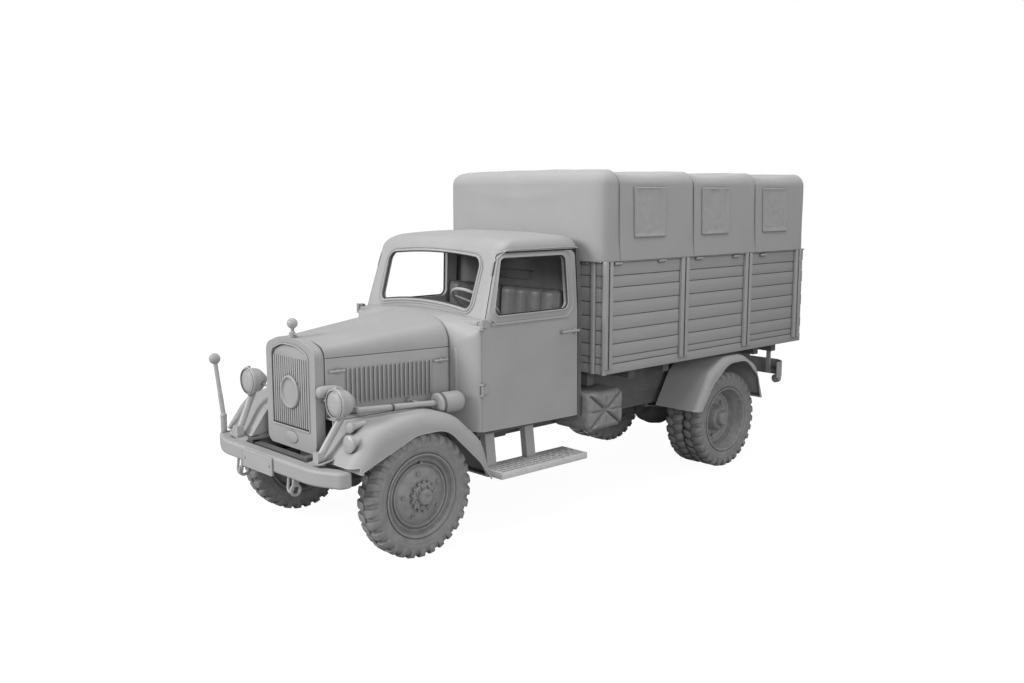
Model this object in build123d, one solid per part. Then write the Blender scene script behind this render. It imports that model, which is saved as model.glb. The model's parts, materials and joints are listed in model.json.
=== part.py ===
"""A three-ton bonneted cargo truck with a steel cab, a high plank-sided bed and a canvas cover.

Millimetres. X is the truck's left, Y runs to its tail and Z is up. The pieces are drawn with Y from
the front axle, and save() moves them so that the origin is under the middle of the whole truck.
"""
from build123d import *
import math
import os

# --- wheels and track ---
WHEELBASE = 3800.0
TYRE_R = 474.0
TYRE_W = 195.0
TYRE_BEAD_R = 300.0
TREAD_HALF = 70.0
LUGS = 30
LUG_W = 56.0
LUG_H = 16.0
FRONT_WHEEL_X = 826.0
REAR_WHEEL_X = 840.5
TWIN_GAP = 15.0
RIM_W = 150.0
RIM_R = 292.0
RIM_LIP_R = 318.0
FRONT_HUB_R = 147.0
REAR_HUB_R = 120.0
SPINDLE_R = 35.0
AXLE_R = 50.0
RUN_GAP = 0.3
KINGPIN_X = 665.0
KINGPIN_R = 20.0
EAR_GAP = 78.0
EAR_T = 24.0
STEER_ARM = 160.0
STEM_L = 42.0
STEM_R = 9.0
TIE_ROD_DROP = 25.0

# --- ladder frame ---
RAIL_X = 395.0
RAIL_W = 70.0
RAIL_Z = 650.0
RAIL_H = 140.0
RAIL_T = 10.0
FRAME_TAIL = 1120.0
MEMBER_W = 60.0
ENGINE_HALF = 230.0
ENGINE_FRONT = -330.0
ENGINE_REAR = 560.0
ENGINE_Z = 612.0
ENGINE_TOP = 1330.0
MEMBER_INSET = 25.0

# --- bumper and radiator ---
BUMPER_Y = -790.0
BUMPER_T = 110.0
BUMPER_HALF = 886.0
BUMPER_Z = 645.0
BUMPER_H = 120.0
BUMPER_SWEEP = 105.0
PLATE_T = 12.0
PLATE_W = 440.0
PLATE_H = 138.0
PLATE_X = -75.0
PLATE_Z = 618.0
RADIATOR_HALF = 345.0
RADIATOR_Y = -540.0
RADIATOR_DEPTH = 80.0
RADIATOR_Z = 768.0
RADIATOR_TOP = 1612.0
GRILLE_HALF = 258.0
GRILLE_Z = 930.0
GRILLE_TOP = 1462.0
GRILLE_RECESS = 30.0
GRILLE_BARS = 17
BAR_W = 11.0
BADGE_Z = 1200.0
BADGE_R = 128.0

# --- hood ---
HOOD_GAP = 5.0
HOOD_T = 12.0
HOOD_ROD_R = 8.0
HOOD_SEAM_Z = 1485.0
HOOD_FRONT_HALF = 352.0
HOOD_REAR_HALF = 505.0
HOOD_REAR_Y = 595.0
HOOD_REAR_TOP = 1752.0
HOOD_SIDE_Z = 1045.0
HOOD_SIDE_T = 18.0
LOUVRES = 20
LOUVRE_FIRST = -277.0
LOUVRE_LAST = 430.0
LOUVRE_Z = 1125.0
LOUVRE_H = 270.0
HINGE_SLOT = 0.8

# --- cab ---
CAB_HALF = 820.0
CAB_TOP_HALF = 786.0
CAB_Z = 830.0
BELT_Z = 1700.0
EAVES_Z = 2232.0
ROOF_Z = 2376.0
WALL_T = 45.0
COWL_Y = 600.0
DOOR_Y = 672.0
DOOR_W = 1082.0
DOOR_GAP = 6.0
BACK_T = 40.0
RAKE = 0.304
SCREEN_Y = 720.0
SCREEN_T = 40.0
SCREEN_FLANGE = 8.0
SCREEN_Z = 1812.0
SCREEN_TOP = 2216.0
SCREEN_HALF = 598.0
SCREEN_TOP_HALF = 610.0
PILLAR_R = 80.0
FLOOR_T = 45.0
HINGE_AXIS_X = 836.0
HINGE_AXIS_Y = 662.0
HINGE_R = 11.0
HINGE_HALF = 32.0

# --- fenders and steps ---
FENDER_T = 12.0
FENDER_IN = 470.0
FENDER_OUT = 950.0
FENDER_CROWN = 1095.0
REAR_FENDER_IN = 525.0
REAR_FENDER_OUT = 1020.0
STEP_Z = 455.0
STEP_T = 50.0
STEP_IN = 660.0
STEP_OUT = 950.0
HANGER_HALF = 48.0

# --- bed, gate and cover ---
BED_HALF = 998.0
BED_Y = 1890.0
BED_TAIL = 1225.0
BED_Z = 1150.0
BED_TOP = 2120.0
DECK_T = 60.0
BOARD_T = 34.0
BOARD_STEP = 9.0
POST_T = 20.0
GATE_T = 40.0
GATE_GAP = 6.0
GATE_HINGE_R = 14.0
GATE_HINGES = (-600.0, 0.0, 600.0)
GATE_HINGE_HALF = 60.0
COVER_T = 14.0
COVER_TOP = 2890.0
COVER_R = 150.0
BOW_T = 30.0

BOARD_LINES = (1236.0, 1297.0, 1408.0, 1530.0, 1648.0, 1772.0, 1894.0, 1996.0)
POSTS = ((1888.0, 2000.0), (2935.0, 3055.0), (3930.0, 4080.0), (4830.0, 4985.0))
BOW_Y = (2030.0, 3060.0, 4050.0, 4930.0)

# --- worked out ---
REAR_AXLE = WHEELBASE
BED_REAR = WHEELBASE + BED_TAIL
BUMPER_BACK = BUMPER_Y + BUMPER_T
FRAME_REAR = WHEELBASE + FRAME_TAIL
RAIL_TOP = RAIL_Z + RAIL_H
MEMBER_Y = (BUMPER_BACK + 15, ENGINE_REAR + 30, 900.0, 1700.0, 2750.0, REAR_AXLE - 560, REAR_AXLE + 560, FRAME_REAR - 75)
RADIATOR_BACK = RADIATOR_Y + RADIATOR_DEPTH
DOOR_REAR = DOOR_Y + DOOR_W
BACK_Y = DOOR_REAR + DOOR_GAP
DOOR_HINGES = (BELT_Z - 12, BELT_Z - 535)
GATE_AXIS_Y = BED_REAR + GATE_HINGE_R + 1.0
GATE_HINGE_Z = BED_Z + DECK_T / 2 - 2
TAIL_Y = GATE_AXIS_Y + GATE_HINGE_R
NOSE_Y = BUMPER_Y - PLATE_T
MIDDLE_Y = (TAIL_Y + NOSE_Y) / 2


def block(x0, x1, y0, y1, z0, z1):
    """A box from its lowest to its highest corner."""
    size = (x1 - x0, y1 - y0, z1 - z0)
    return Pos((x0 + x1) / 2, (y0 + y1) / 2, (z0 + z1) / 2) * Box(*size)


def rod(start, end, radius):
    """A round bar between two points."""
    a = Vector(*start)
    b = Vector(*end)
    return Plane(origin=a, z_dir=b - a) * Cylinder(
        radius, (b - a).length, align=(Align.CENTER, Align.CENTER, Align.MIN))


def ball(centre, radius):
    """A sphere at a point."""
    return Pos(*centre) * Sphere(radius)


def corners(outline):
    """Lines and corner arcs of a closed outline of (a, b) or (a, b, radius) points."""
    pieces = []
    count = len(outline)
    for i, point in enumerate(outline):
        before = outline[i - 1]
        after = outline[(i + 1) % count]
        here = Vector(point[0], point[1])
        radius = point[2] if len(point) > 2 else 0.0
        to_before = (Vector(before[0], before[1]) - here).normalized()
        to_after = (Vector(after[0], after[1]) - here).normalized()
        if radius <= 0:
            pieces.append((here, here, here))
            continue
        half = to_before.get_angle(to_after) / 2
        reach = radius / math.tan(math.radians(half))
        bulge = radius / math.sin(math.radians(half)) - radius
        towards = (to_before + to_after).normalized()
        pieces.append((here + to_before * reach, here + towards * bulge, here + to_after * reach))
    return pieces


def face_of(outline, place):
    """A flat face from an outline, with place(a, b) giving each point in space."""
    parts = corners(outline)
    edges = []
    for i, (start, middle, end) in enumerate(parts):
        following = parts[(i + 1) % len(parts)][0]
        if (end - start).length > 1e-6:
            edges.append(ThreePointArc(*(place(p.X, p.Y) for p in (start, middle, end))))
        if (following - end).length > 1e-6:
            edges.append(Line(place(end.X, end.Y), place(following.X, following.Y)))
    return make_face(edges)


def along_x(outline, x0, x1):
    """An outline of (y, z) points drawn out from x0 to x1."""
    return extrude(face_of(outline, lambda y, z: (x0, y, z)), amount=x1 - x0, dir=(1, 0, 0))


def along_y(outline, y0, y1):
    """An outline of (x, z) points drawn out from y0 to y1."""
    return extrude(face_of(outline, lambda x, z: (x, y0, z)), amount=y1 - y0, dir=(0, 1, 0))


def along_z(outline, z0, z1):
    """An outline of (x, y) points drawn out from z0 to z1."""
    return extrude(face_of(outline, lambda x, y: (x, y, z0)), amount=z1 - z0, dir=(0, 0, 1))


def turned(outline, centre_y, centre_z):
    """An outline of (x, radius) points turned about a cross axle."""
    face = face_of(outline, lambda x, r: (x, centre_y, centre_z + r))
    return revolve(face, Axis((0, centre_y, centre_z), (1, 0, 0)), 360)


def mirrored(outline):
    """A half outline from the middle out, closed by its mirror image across a = 0."""
    other = [(-p[0],) + tuple(p[1:]) for p in reversed(outline) if abs(p[0]) > 1e-6]
    return list(outline) + other


def both(shape):
    """A piece and its mirror image on the other side."""
    return [shape, mirror(shape, Plane.YZ)]


def other_side(shape):
    """The piece's mirror image on the truck's right."""
    return mirror(shape, Plane.YZ)


def fuse(pieces):
    """All pieces joined as one."""
    whole = pieces[0]
    for piece in pieces[1:]:
        whole = whole + piece
    return whole


def save(name, *shapes):
    """Write a node's solids, moved to the truck's own origin."""
    solids = []
    for shape in shapes:
        solids.extend(shape.solids())
    moved = [Pos(0, -MIDDLE_Y, 0) * solid for solid in solids]
    export_step(Compound(children=moved), os.path.join("parts", name + ".step"))


# --- wheels ---

def tyre(centre_x, centre_y):
    """A tyre with its lugs, hollow down to its beads."""
    half = TYRE_W / 2
    bead = RIM_W / 2
    seat_r = RIM_LIP_R + 2
    outline = [(centre_x - bead, TYRE_BEAD_R), (centre_x - bead, seat_r), (centre_x - half, TYRE_R - 110),
               (centre_x - half + 6, TYRE_R - 44), (centre_x - TREAD_HALF, TYRE_R - LUG_H),
               (centre_x + TREAD_HALF, TYRE_R - LUG_H), (centre_x + half - 6, TYRE_R - 44),
               (centre_x + half, TYRE_R - 110), (centre_x + bead, seat_r), (centre_x + bead, TYRE_BEAD_R)]
    body = turned(outline, centre_y, TYRE_R)
    return body.fuse(*tyre_lugs(centre_x, centre_y))


def tyre_lugs(centre_x, centre_y):
    """The blunt bars that stand on both shoulders, those on one side between those on the other."""
    half = TYRE_W / 2
    lugs = []
    for side in (-1, 1):
        shape = [(14, TYRE_R - LUG_H - 6), (20, TYRE_R - 1), (TREAD_HALF, TYRE_R - 1), (half + 2, TYRE_R - 36),
                 (half - 14, TYRE_R - 70)]
        for i in range(LUGS):
            turn = 360.0 * (i + (0.5 if side < 0 else 0.0)) / LUGS
            face = face_of([(side * x, r) for x, r in shape], lambda x, r: (x, -LUG_W / 2, r))
            bar = extrude(face, amount=LUG_W, dir=(0, 1, 0))
            lugs.append(Pos(centre_x, centre_y, TYRE_R) * Rotation(turn, 0, 0) * bar)
    return lugs


def rim(centre_x, centre_y, web_x, hub_r, nose_x, bore_r, back_x):
    """A rim, its dished disc and a bored hub in one piece."""
    half = RIM_W / 2
    lip = half + 8
    barrel = [(centre_x - lip, RIM_R - 12), (centre_x - lip, RIM_LIP_R - 4),
              (centre_x - half - 1, RIM_LIP_R - 4), (centre_x - half - 1, TYRE_BEAD_R - 1),
              (centre_x + half + 1, TYRE_BEAD_R - 1), (centre_x + half + 1, RIM_LIP_R - 4),
              (centre_x + lip, RIM_LIP_R - 4), (centre_x + lip, RIM_R - 12)]
    disc = [(web_x - 14, bore_r + 20), (web_x - 14, RIM_R - 6), (web_x, RIM_R - 6), (web_x, bore_r + 20)]
    hub = [(back_x, bore_r), (back_x, hub_r * 0.8), (web_x - 8, hub_r), (web_x + 16, hub_r, 5),
           (web_x + 22, hub_r * 0.62, 10), (nose_x, hub_r * 0.55, 12), (nose_x, 0.0),
           (nose_x - 22, 0.0), (nose_x - 22, bore_r)]
    return fuse([turned(shape, centre_y, TYRE_R) for shape in (barrel, disc, hub)])


def front_wheel():
    """The left front tyre and its rim with a wide bolted hub."""
    web = FRONT_WHEEL_X + 38
    nose = FRONT_WHEEL_X + 142
    bore = SPINDLE_R + RUN_GAP
    return tyre(FRONT_WHEEL_X, 0), rim(FRONT_WHEEL_X, 0, web, FRONT_HUB_R, nose, bore, web - 40)


def rear_wheel():
    """The left rear pair of tyres and their rims, back to back on one hub."""
    inner_x = REAR_WHEEL_X - TYRE_W - TWIN_GAP
    meet = (REAR_WHEEL_X + inner_x) / 2
    bore = AXLE_R + RUN_GAP
    half = RIM_W / 2
    web = REAR_WHEEL_X - half + 18
    outer = rim(REAR_WHEEL_X, REAR_AXLE, web, REAR_HUB_R, REAR_WHEEL_X + 70, bore, meet - 5)
    lip = half + 8
    barrel = [(inner_x - lip, RIM_R - 12), (inner_x - lip, RIM_LIP_R - 4),
              (inner_x - half - 1, RIM_LIP_R - 4), (inner_x - half - 1, TYRE_BEAD_R - 1),
              (inner_x + half + 1, TYRE_BEAD_R - 1), (inner_x + half + 1, RIM_LIP_R - 4),
              (inner_x + lip, RIM_LIP_R - 4), (inner_x + lip, RIM_R - 12)]
    inner_web = inner_x + half - 4
    disc = [(inner_web - 14, bore + 20), (inner_web - 14, RIM_R - 6), (inner_web, RIM_R - 6), (inner_web, bore + 20)]
    drum = [(meet - 150, bore), (meet - 150, REAR_HUB_R + 60, 10), (meet, REAR_HUB_R + 60, 10), (meet, bore)]
    rims = fuse([outer] + [turned(shape, REAR_AXLE, TYRE_R) for shape in (barrel, disc, drum)])
    tyres = [tyre(REAR_WHEEL_X, REAR_AXLE), tyre(inner_x, REAR_AXLE)]
    return tyres, rims


# --- running gear ---

def leaf_spring(centre_y, half_span, eye_z, middle_z, leaves, x):
    """A stack of bowed leaves, the longest on top, under one rail."""
    leaf_t = 11.0
    width = 60.0
    rise = eye_z - middle_z
    radius = (half_span ** 2 + rise ** 2) / (2 * rise)
    stack = []
    for i in range(leaves):
        reach = half_span * (1 - 0.8 * i / leaves)
        inner = radius + leaf_t * i
        ring = rod((x - width / 2, centre_y, middle_z + radius), (x + width / 2, centre_y, middle_z + radius),
                   inner + leaf_t)
        ring = ring - rod((x - width, centre_y, middle_z + radius), (x + width, centre_y, middle_z + radius),
                          inner)
        stack.append(ring & block(x - width, x + width, centre_y - reach, centre_y + reach,
                                  middle_z - leaf_t * leaves - 5, eye_z + 20))
    return fuse(stack)


def frame():
    """Two channel rails, open inwards, and the members that cross between them."""
    outer = RAIL_X + RAIL_W / 2
    inner = RAIL_X - RAIL_W / 2
    rail = block(inner, outer, BUMPER_BACK, FRAME_REAR, RAIL_Z, RAIL_TOP)
    rail = rail - block(inner - 1, outer - RAIL_T, BUMPER_BACK + RAIL_T, FRAME_REAR - RAIL_T,
                        RAIL_Z + RAIL_T, RAIL_TOP - RAIL_T)
    pieces = [rail, other_side(rail)]
    reach = outer - RAIL_T
    for i, y in enumerate(MEMBER_Y):
        if i != 2:
            pieces.append(block(-reach, reach, y, y + MEMBER_W, RAIL_Z + MEMBER_INSET, RAIL_TOP - MEMBER_INSET))
    for y in (ENGINE_FRONT + 180, ENGINE_REAR - 160):
        for side in (-1, 1):
            low, high = sorted((side * ENGINE_HALF, side * reach))
            pieces.append(block(low, high, y, y + MEMBER_W, RAIL_Z + MEMBER_INSET, RAIL_TOP - MEMBER_INSET))
    return fuse(pieces)


def front_axle():
    """The driven front axle: tube, offset differential housing and the forks for the kingpins."""
    fork_x = KINGPIN_X - 80
    tube_r = AXLE_R - 8
    diff_x = -60.0
    outline = [(-fork_x, 0), (-fork_x, tube_r), (diff_x - 190, tube_r, 60), (diff_x - 75, 122, 40), (diff_x, 130, 60),
               (diff_x + 75, 122, 40), (diff_x + 190, tube_r, 60), (fork_x, tube_r), (fork_x, 0)]
    nose = rod((diff_x, 100, TYRE_R), (diff_x, 210, TYRE_R), 48)
    pieces = [turned(outline, 0, TYRE_R), nose]
    for side in (-1, 1):
        x = side * KINGPIN_X
        near = side * (fork_x - 20)
        for level in (-1, 1):
            low = TYRE_R + level * (EAR_GAP + RUN_GAP)
            high = low + level * EAR_T
            ear = rod((x, 0, low), (x, 0, high), 44)
            arm = block(min(near, x), max(near, x), -40, 40, min(low, high), max(low, high))
            pieces += [ear, arm]
        web = block(min(near, near + side * 30), max(near, near + side * 30), -40, 40,
                    TYRE_R - EAR_GAP - EAR_T, TYRE_R + EAR_GAP + EAR_T)
        pieces.append(web)
    axle = fuse(pieces)
    for side in (-1, 1):
        x = side * KINGPIN_X
        axle = axle - rod((x, 0, TYRE_R - 200), (x, 0, TYRE_R + 200), KINGPIN_R + RUN_GAP)
    for side in (-1, 1):
        x = side * RAIL_X
        axle = axle + block(x - 45, x + 45, -60, 60, TYRE_R + AXLE_R - 30, TYRE_R + AXLE_R + 8)
    return axle


def knuckle():
    """The left steering knuckle: kingpin, drum backing plate, spindle and rearward steering arm."""
    barrel = rod((KINGPIN_X, 0, TYRE_R - EAR_GAP), (KINGPIN_X, 0, TYRE_R + EAR_GAP), 38)
    pin = rod((KINGPIN_X, 0, TYRE_R - EAR_GAP - EAR_T - 8), (KINGPIN_X, 0, TYRE_R + EAR_GAP + EAR_T + 8),
              KINGPIN_R)
    spindle = rod((KINGPIN_X, 0, TYRE_R), (FRONT_WHEEL_X + 100, 0, TYRE_R), SPINDLE_R)
    plate = rod((KINGPIN_X + 50, 0, TYRE_R), (KINGPIN_X + 62, 0, TYRE_R), 190)
    boss = rod((KINGPIN_X + 20, 0, TYRE_R), (KINGPIN_X + 60, 0, TYRE_R), 60)
    drum = rod((KINGPIN_X + 60, 0, TYRE_R), (FRONT_WHEEL_X - 12, 0, TYRE_R), 180)
    arm_z = TYRE_R - EAR_GAP + 8
    arm = block(KINGPIN_X - 18, KINGPIN_X + 18, 15, STEER_ARM + 20, arm_z, arm_z + 22)
    stem = rod((KINGPIN_X, STEER_ARM, arm_z - STEM_L), (KINGPIN_X, STEER_ARM, arm_z), STEM_R)
    return fuse([barrel, pin, spindle, plate, boss, drum, arm, stem])


def tie_rod():
    """The track rod between the two steering arms, bored for their ball stems."""
    z = TYRE_R - EAR_GAP + 8 - TIE_ROD_DROP
    bar = rod((-KINGPIN_X, STEER_ARM, z), (KINGPIN_X, STEER_ARM, z), 13)
    ends = [rod((side * KINGPIN_X, STEER_ARM, z - 16), (side * KINGPIN_X, STEER_ARM, z + 16), 24)
            for side in (-1, 1)]
    whole = fuse([bar] + ends)
    for side in (-1, 1):
        x = side * KINGPIN_X
        whole = whole - rod((x, STEER_ARM, z - 40), (x, STEER_ARM, z + 40), STEM_R + RUN_GAP)
    return whole


def rear_axle():
    """The rear axle: tapered tube, round differential housing and the ends that carry the hubs."""
    reach = REAR_WHEEL_X + 40
    outline = [(-reach, 0), (-reach, AXLE_R), (-560, AXLE_R), (-300, AXLE_R + 10, 200), (-110, 170, 60), (0, 188, 120), (110, 170, 60),
               (300, AXLE_R + 10, 200), (560, AXLE_R), (reach, AXLE_R), (reach, 0)]
    nose = rod((0, REAR_AXLE - 330, TYRE_R + 10), (0, REAR_AXLE - 130, TYRE_R + 10), 60)
    pieces = [turned(outline, REAR_AXLE, TYRE_R), nose]
    for side in (-1, 1):
        x = side * RAIL_X
        pieces.append(block(x - 50, x + 50, REAR_AXLE - 80, REAR_AXLE + 80, TYRE_R + AXLE_R - 25,
                            TYRE_R + AXLE_R + 12))
    return fuse(pieces)


def springs():
    """Four leaf springs with the brackets that hang them from the rails."""
    front = [leaf_spring(0, 520, RAIL_Z - 16, TYRE_R + AXLE_R + 52, 4, RAIL_X)]
    rear = [leaf_spring(REAR_AXLE, 640, RAIL_Z - 16, TYRE_R + AXLE_R + 67, 5, RAIL_X)]
    hangers = []
    for middle, span in ((0, 520), (REAR_AXLE, 640)):
        for side in (-1, 1):
            y = middle + side * (span - 18)
            hangers.append(block(RAIL_X - 26, RAIL_X + 26, y - 22, y + 22, RAIL_Z - 34, RAIL_Z))
    left = fuse(front + rear + hangers)
    return both(left)


def drivetrain():
    """Gearbox and transfer box under the floor and the shafts to both axles."""
    box = block(-150, 150, 700, 1180, 560, 780)
    transfer = block(-170, 130, 1180, 1560, 540, 740)
    rear_shaft = rod((0, 1560, 620), (0, REAR_AXLE - 333.2, TYRE_R + 10), 38)
    front_shaft = rod((-110, 1200, 590), (-60, 213.9, TYRE_R), 30)
    reach = RAIL_X + RAIL_W / 2 - RAIL_T
    hanger = block(-reach, reach, MEMBER_Y[2], MEMBER_Y[2] + MEMBER_W, RAIL_TOP - 70, RAIL_TOP - MEMBER_INSET)
    return fuse([box, transfer, rear_shaft, front_shaft, hanger])


def engine():
    """The engine as one plain block between the rails."""
    return block(-ENGINE_HALF, ENGINE_HALF, ENGINE_FRONT, ENGINE_REAR, ENGINE_Z, ENGINE_TOP)


# --- nose ---

def front_bumper():
    """A round-edged bar with swept ends and a ring hook below each side."""
    half = BUMPER_HALF
    back = BUMPER_BACK
    tip = back + BUMPER_SWEEP - 15
    outline = mirrored([(0, BUMPER_Y), (half - 240, BUMPER_Y, 500), (half, BUMPER_Y + BUMPER_SWEEP, 60),
                        (half, tip, 28), (half - 70, tip, 28), (half - 270, back, 200), (0, back)])
    bar = along_z(outline, BUMPER_Z, BUMPER_Z + BUMPER_H)
    for end in (0, -1):
        bar = fillet(bar.faces().sort_by(Axis.Z)[end].edges(), 22)
    pieces = [bar]
    for x, drop in ((360.0, 70.0), (-400.0, 70.0)):
        y = BUMPER_Y + BUMPER_T / 2
        ring = Pos(x, y, BUMPER_Z - drop - 25) * Rotation(0, 90, 0) * Torus(38, 12)
        pieces += [block(x - 14, x + 14, y - 20, y + 20, BUMPER_Z - drop, BUMPER_Z + 10), ring]
    return fuse(pieces)


def number_plate():
    """A blank plate on the bumper's face."""
    outline = [(PLATE_X - PLATE_W / 2, PLATE_Z, 12), (PLATE_X + PLATE_W / 2, PLATE_Z, 12),
               (PLATE_X + PLATE_W / 2, PLATE_Z + PLATE_H, 12), (PLATE_X - PLATE_W / 2, PLATE_Z + PLATE_H, 12)]
    return along_y(outline, NOSE_Y, BUMPER_Y)


def marker_rod():
    """A width marker on the right end of the bumper: socket, cranked rod and ball."""
    foot = (-836.0, BUMPER_Y + 122, BUMPER_Z + BUMPER_H)
    knee = (-836.0, foot[1], foot[2] + 135)
    bend = (-880.0, foot[1], foot[2] + 310)
    tip = (-950.0, foot[1], foot[2] + 590)
    socket = rod(foot, knee, 25)
    joints = [rod(knee, bend, 19), rod(bend, tip, 17), ball(bend, 19), ball(knee, 27), ball(tip, 45)]
    return fuse([socket] + joints)


def arched(half, low, shoulder, top, corner, foot_corner):
    """Half of an arched plate's outline, from the middle of the foot to the middle of the arch."""
    return mirrored([(0, low), (half, low, foot_corner), (half, shoulder, corner), (half * 0.42, top, 300),
                     (0, top)])


def grille_opening():
    """The outline of the recess in the radiator shell."""
    return arched(GRILLE_HALF, GRILLE_Z, 1500, 1556, 60, 8)


def radiator_shell():
    """The arched shell with its recessed opening, its rounded apron and the rod that the hood is hinged over."""
    outer = along_y(arched(RADIATOR_HALF, RADIATOR_Z, 1545, RADIATOR_TOP, 90, 70), RADIATOR_Y, RADIATOR_BACK)
    opening = grille_opening()
    shell = outer - along_y(opening, RADIATOR_Y - 1, RADIATOR_Y + GRILLE_RECESS)
    rise = (HOOD_REAR_TOP - RADIATOR_TOP) / (HOOD_REAR_Y - RADIATOR_BACK - HOOD_GAP)
    drop = HOOD_T + (HOOD_ROD_R + RUN_GAP) * math.hypot(1, rise)
    start = RADIATOR_BACK - 12
    end = COWL_Y - 2
    base = RADIATOR_TOP - drop - rise * (RADIATOR_BACK + HOOD_GAP)
    return shell + rod((0, start, base + rise * start), (0, end, base + rise * end), HOOD_ROD_R)


def grille():
    """Upright bars on a back plate, the blank arched panel over them and the plain round badge."""
    clear = 1.0
    half = GRILLE_HALF - clear
    floor = RADIATOR_Y + GRILLE_RECESS - 0.5
    plate = along_y(inset(grille_opening(), clear), floor - 6, floor)
    panel = plate & block(-half, half, floor - 6, floor, GRILLE_TOP, 1600)
    panel = panel + extrude(panel.faces().sort_by(Axis.Y)[0], amount=18, dir=(0, -1, 0))
    pieces = [plate, panel]
    pitch = 2 * (half - 10) / (GRILLE_BARS - 1)
    for i in range(GRILLE_BARS):
        x = -half + 10 + i * pitch
        pieces.append(block(x - BAR_W / 2, x + BAR_W / 2, floor - 22, floor - 4, GRILLE_Z + clear,
                            GRILLE_TOP + 4))
    for z in (GRILLE_Z + clear, GRILLE_TOP - 8):
        pieces.append(block(-half + 9, half - 9, floor - 22, floor - 4, z, z + 16))
    badge_face = RADIATOR_Y - 8
    badge = rod((0, badge_face, BADGE_Z), (0, floor, BADGE_Z), BADGE_R)
    badge = badge - rod((0, badge_face - 1, BADGE_Z), (0, badge_face + 12, BADGE_Z), BADGE_R - 18)
    pieces.append(badge)
    return fuse(pieces)


def radiator_cap():
    """The filler cap: a stepped base, a narrow neck and a ball."""
    y = RADIATOR_Y + 34
    outline = [(0, RADIATOR_TOP), (36, RADIATOR_TOP), (36, RADIATOR_TOP + 14), (22, RADIATOR_TOP + 20),
               (22, RADIATOR_TOP + 38), (14, RADIATOR_TOP + 46), (14, RADIATOR_TOP + 100), (0, RADIATOR_TOP + 100)]
    face = face_of(outline, lambda r, z: (r, y, z))
    wings = rod((-44, y, RADIATOR_TOP + 26), (44, y, RADIATOR_TOP + 26), 7)
    base = revolve(face, Axis((0, y, 0), (0, 0, 1)), 360)
    return fuse([base, wings, ball((0, y, RADIATOR_TOP + 106), 40)])


# --- hood ---

def hood_arc(half, top, crown_r, side_r):
    """Where the hood's broad crown arc meets the tighter arc down its side, and both arcs' centres."""
    low = math.sqrt((crown_r - side_r) ** 2 - (half - side_r) ** 2)
    centre = Vector(0, top - crown_r)
    side = Vector(half - side_r, centre.Y + low)
    return centre, side, centre + (side - centre).normalized() * crown_r


def hood_section(y, half, top, crown_r, side_r, thick):
    """One closed cross-section of the left hood lid, from the ridge to the seam."""
    def on(point):
        return (point.X, y, point.Y)

    centre, side, outer_meet = hood_arc(half, top, crown_r, side_r)
    inner_meet = centre + (outer_meet - centre).normalized() * (crown_r - thick)
    ridge = HINGE_SLOT
    outer_ridge = Vector(ridge, centre.Y + math.sqrt(crown_r ** 2 - ridge ** 2))
    inner_ridge = Vector(ridge, centre.Y + math.sqrt((crown_r - thick) ** 2 - ridge ** 2))
    seam = HOOD_SEAM_Z + HOOD_GAP / 2

    def along(start, end, radius):
        middle = ((start - centre) + (end - centre)).normalized() * radius + centre
        return ThreePointArc(on(start), on(middle), on(end))

    def around(start, end, radius):
        middle = ((start - side) + (end - side)).normalized() * radius + side
        return ThreePointArc(on(start), on(middle), on(end))

    outer_side = side + Vector(side_r, 0)
    inner_side = side + Vector(side_r - thick, 0)
    edges = [along(outer_ridge, outer_meet, crown_r), around(outer_meet, outer_side, side_r),
             Line(on(outer_side), on(Vector(half, seam))), Line(on(Vector(half, seam)), on(Vector(half - thick, seam))),
             Line(on(Vector(half - thick, seam)), on(inner_side)), around(inner_side, inner_meet, side_r - thick),
             along(inner_meet, inner_ridge, crown_r - thick), Line(on(inner_ridge), on(outer_ridge))]
    return make_face(edges)


def hood_lid():
    """The left leaf of the hood, between the radiator shell and the cowl."""
    front = hood_section(RADIATOR_BACK + HOOD_GAP, HOOD_FRONT_HALF, RADIATOR_TOP, 1200, 78, HOOD_T)
    rear = hood_section(HOOD_REAR_Y, HOOD_REAR_HALF, HOOD_REAR_TOP, 1150, 190, HOOD_T)
    return loft([front, rear], ruled=True)


def hood_side_x(y):
    """The outer face of the hood's side at a station along the truck."""
    front = RADIATOR_BACK + HOOD_GAP
    share = (y - front) / (HOOD_REAR_Y - front)
    return HOOD_FRONT_HALF + share * (HOOD_REAR_HALF - HOOD_FRONT_HALF)


def hood_side():
    """The left side panel with its upright louvres and two handles."""
    front = RADIATOR_BACK + HOOD_GAP
    top = HOOD_SEAM_Z - HOOD_GAP / 2
    outline = [(hood_side_x(front), front), (hood_side_x(HOOD_REAR_Y), HOOD_REAR_Y),
               (hood_side_x(HOOD_REAR_Y) - HOOD_SIDE_T, HOOD_REAR_Y), (hood_side_x(front) - HOOD_SIDE_T, front)]
    pieces = [along_z(outline, HOOD_SIDE_Z, top)]
    pitch = (LOUVRE_LAST - LOUVRE_FIRST) / (LOUVRES - 1)
    for i in range(LOUVRES):
        y = LOUVRE_FIRST + i * pitch
        x = hood_side_x(y)
        pieces.append(block(x - 8, x + 9, y - 8, y + 8, LOUVRE_Z, LOUVRE_Z + LOUVRE_H))
    for y in (-425.0, 455.0):
        z = HOOD_SEAM_Z - 100
        for end in (y, y + 105):
            pieces.append(rod((hood_side_x(end) - 6, end, z), (hood_side_x(end) + 22, end, z), 7))
        pieces.append(rod((hood_side_x(y) + 20, y - 8, z), (hood_side_x(y + 105) + 20, y + 113, z), 9))
    return fuse(pieces)


# --- cab ---

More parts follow.
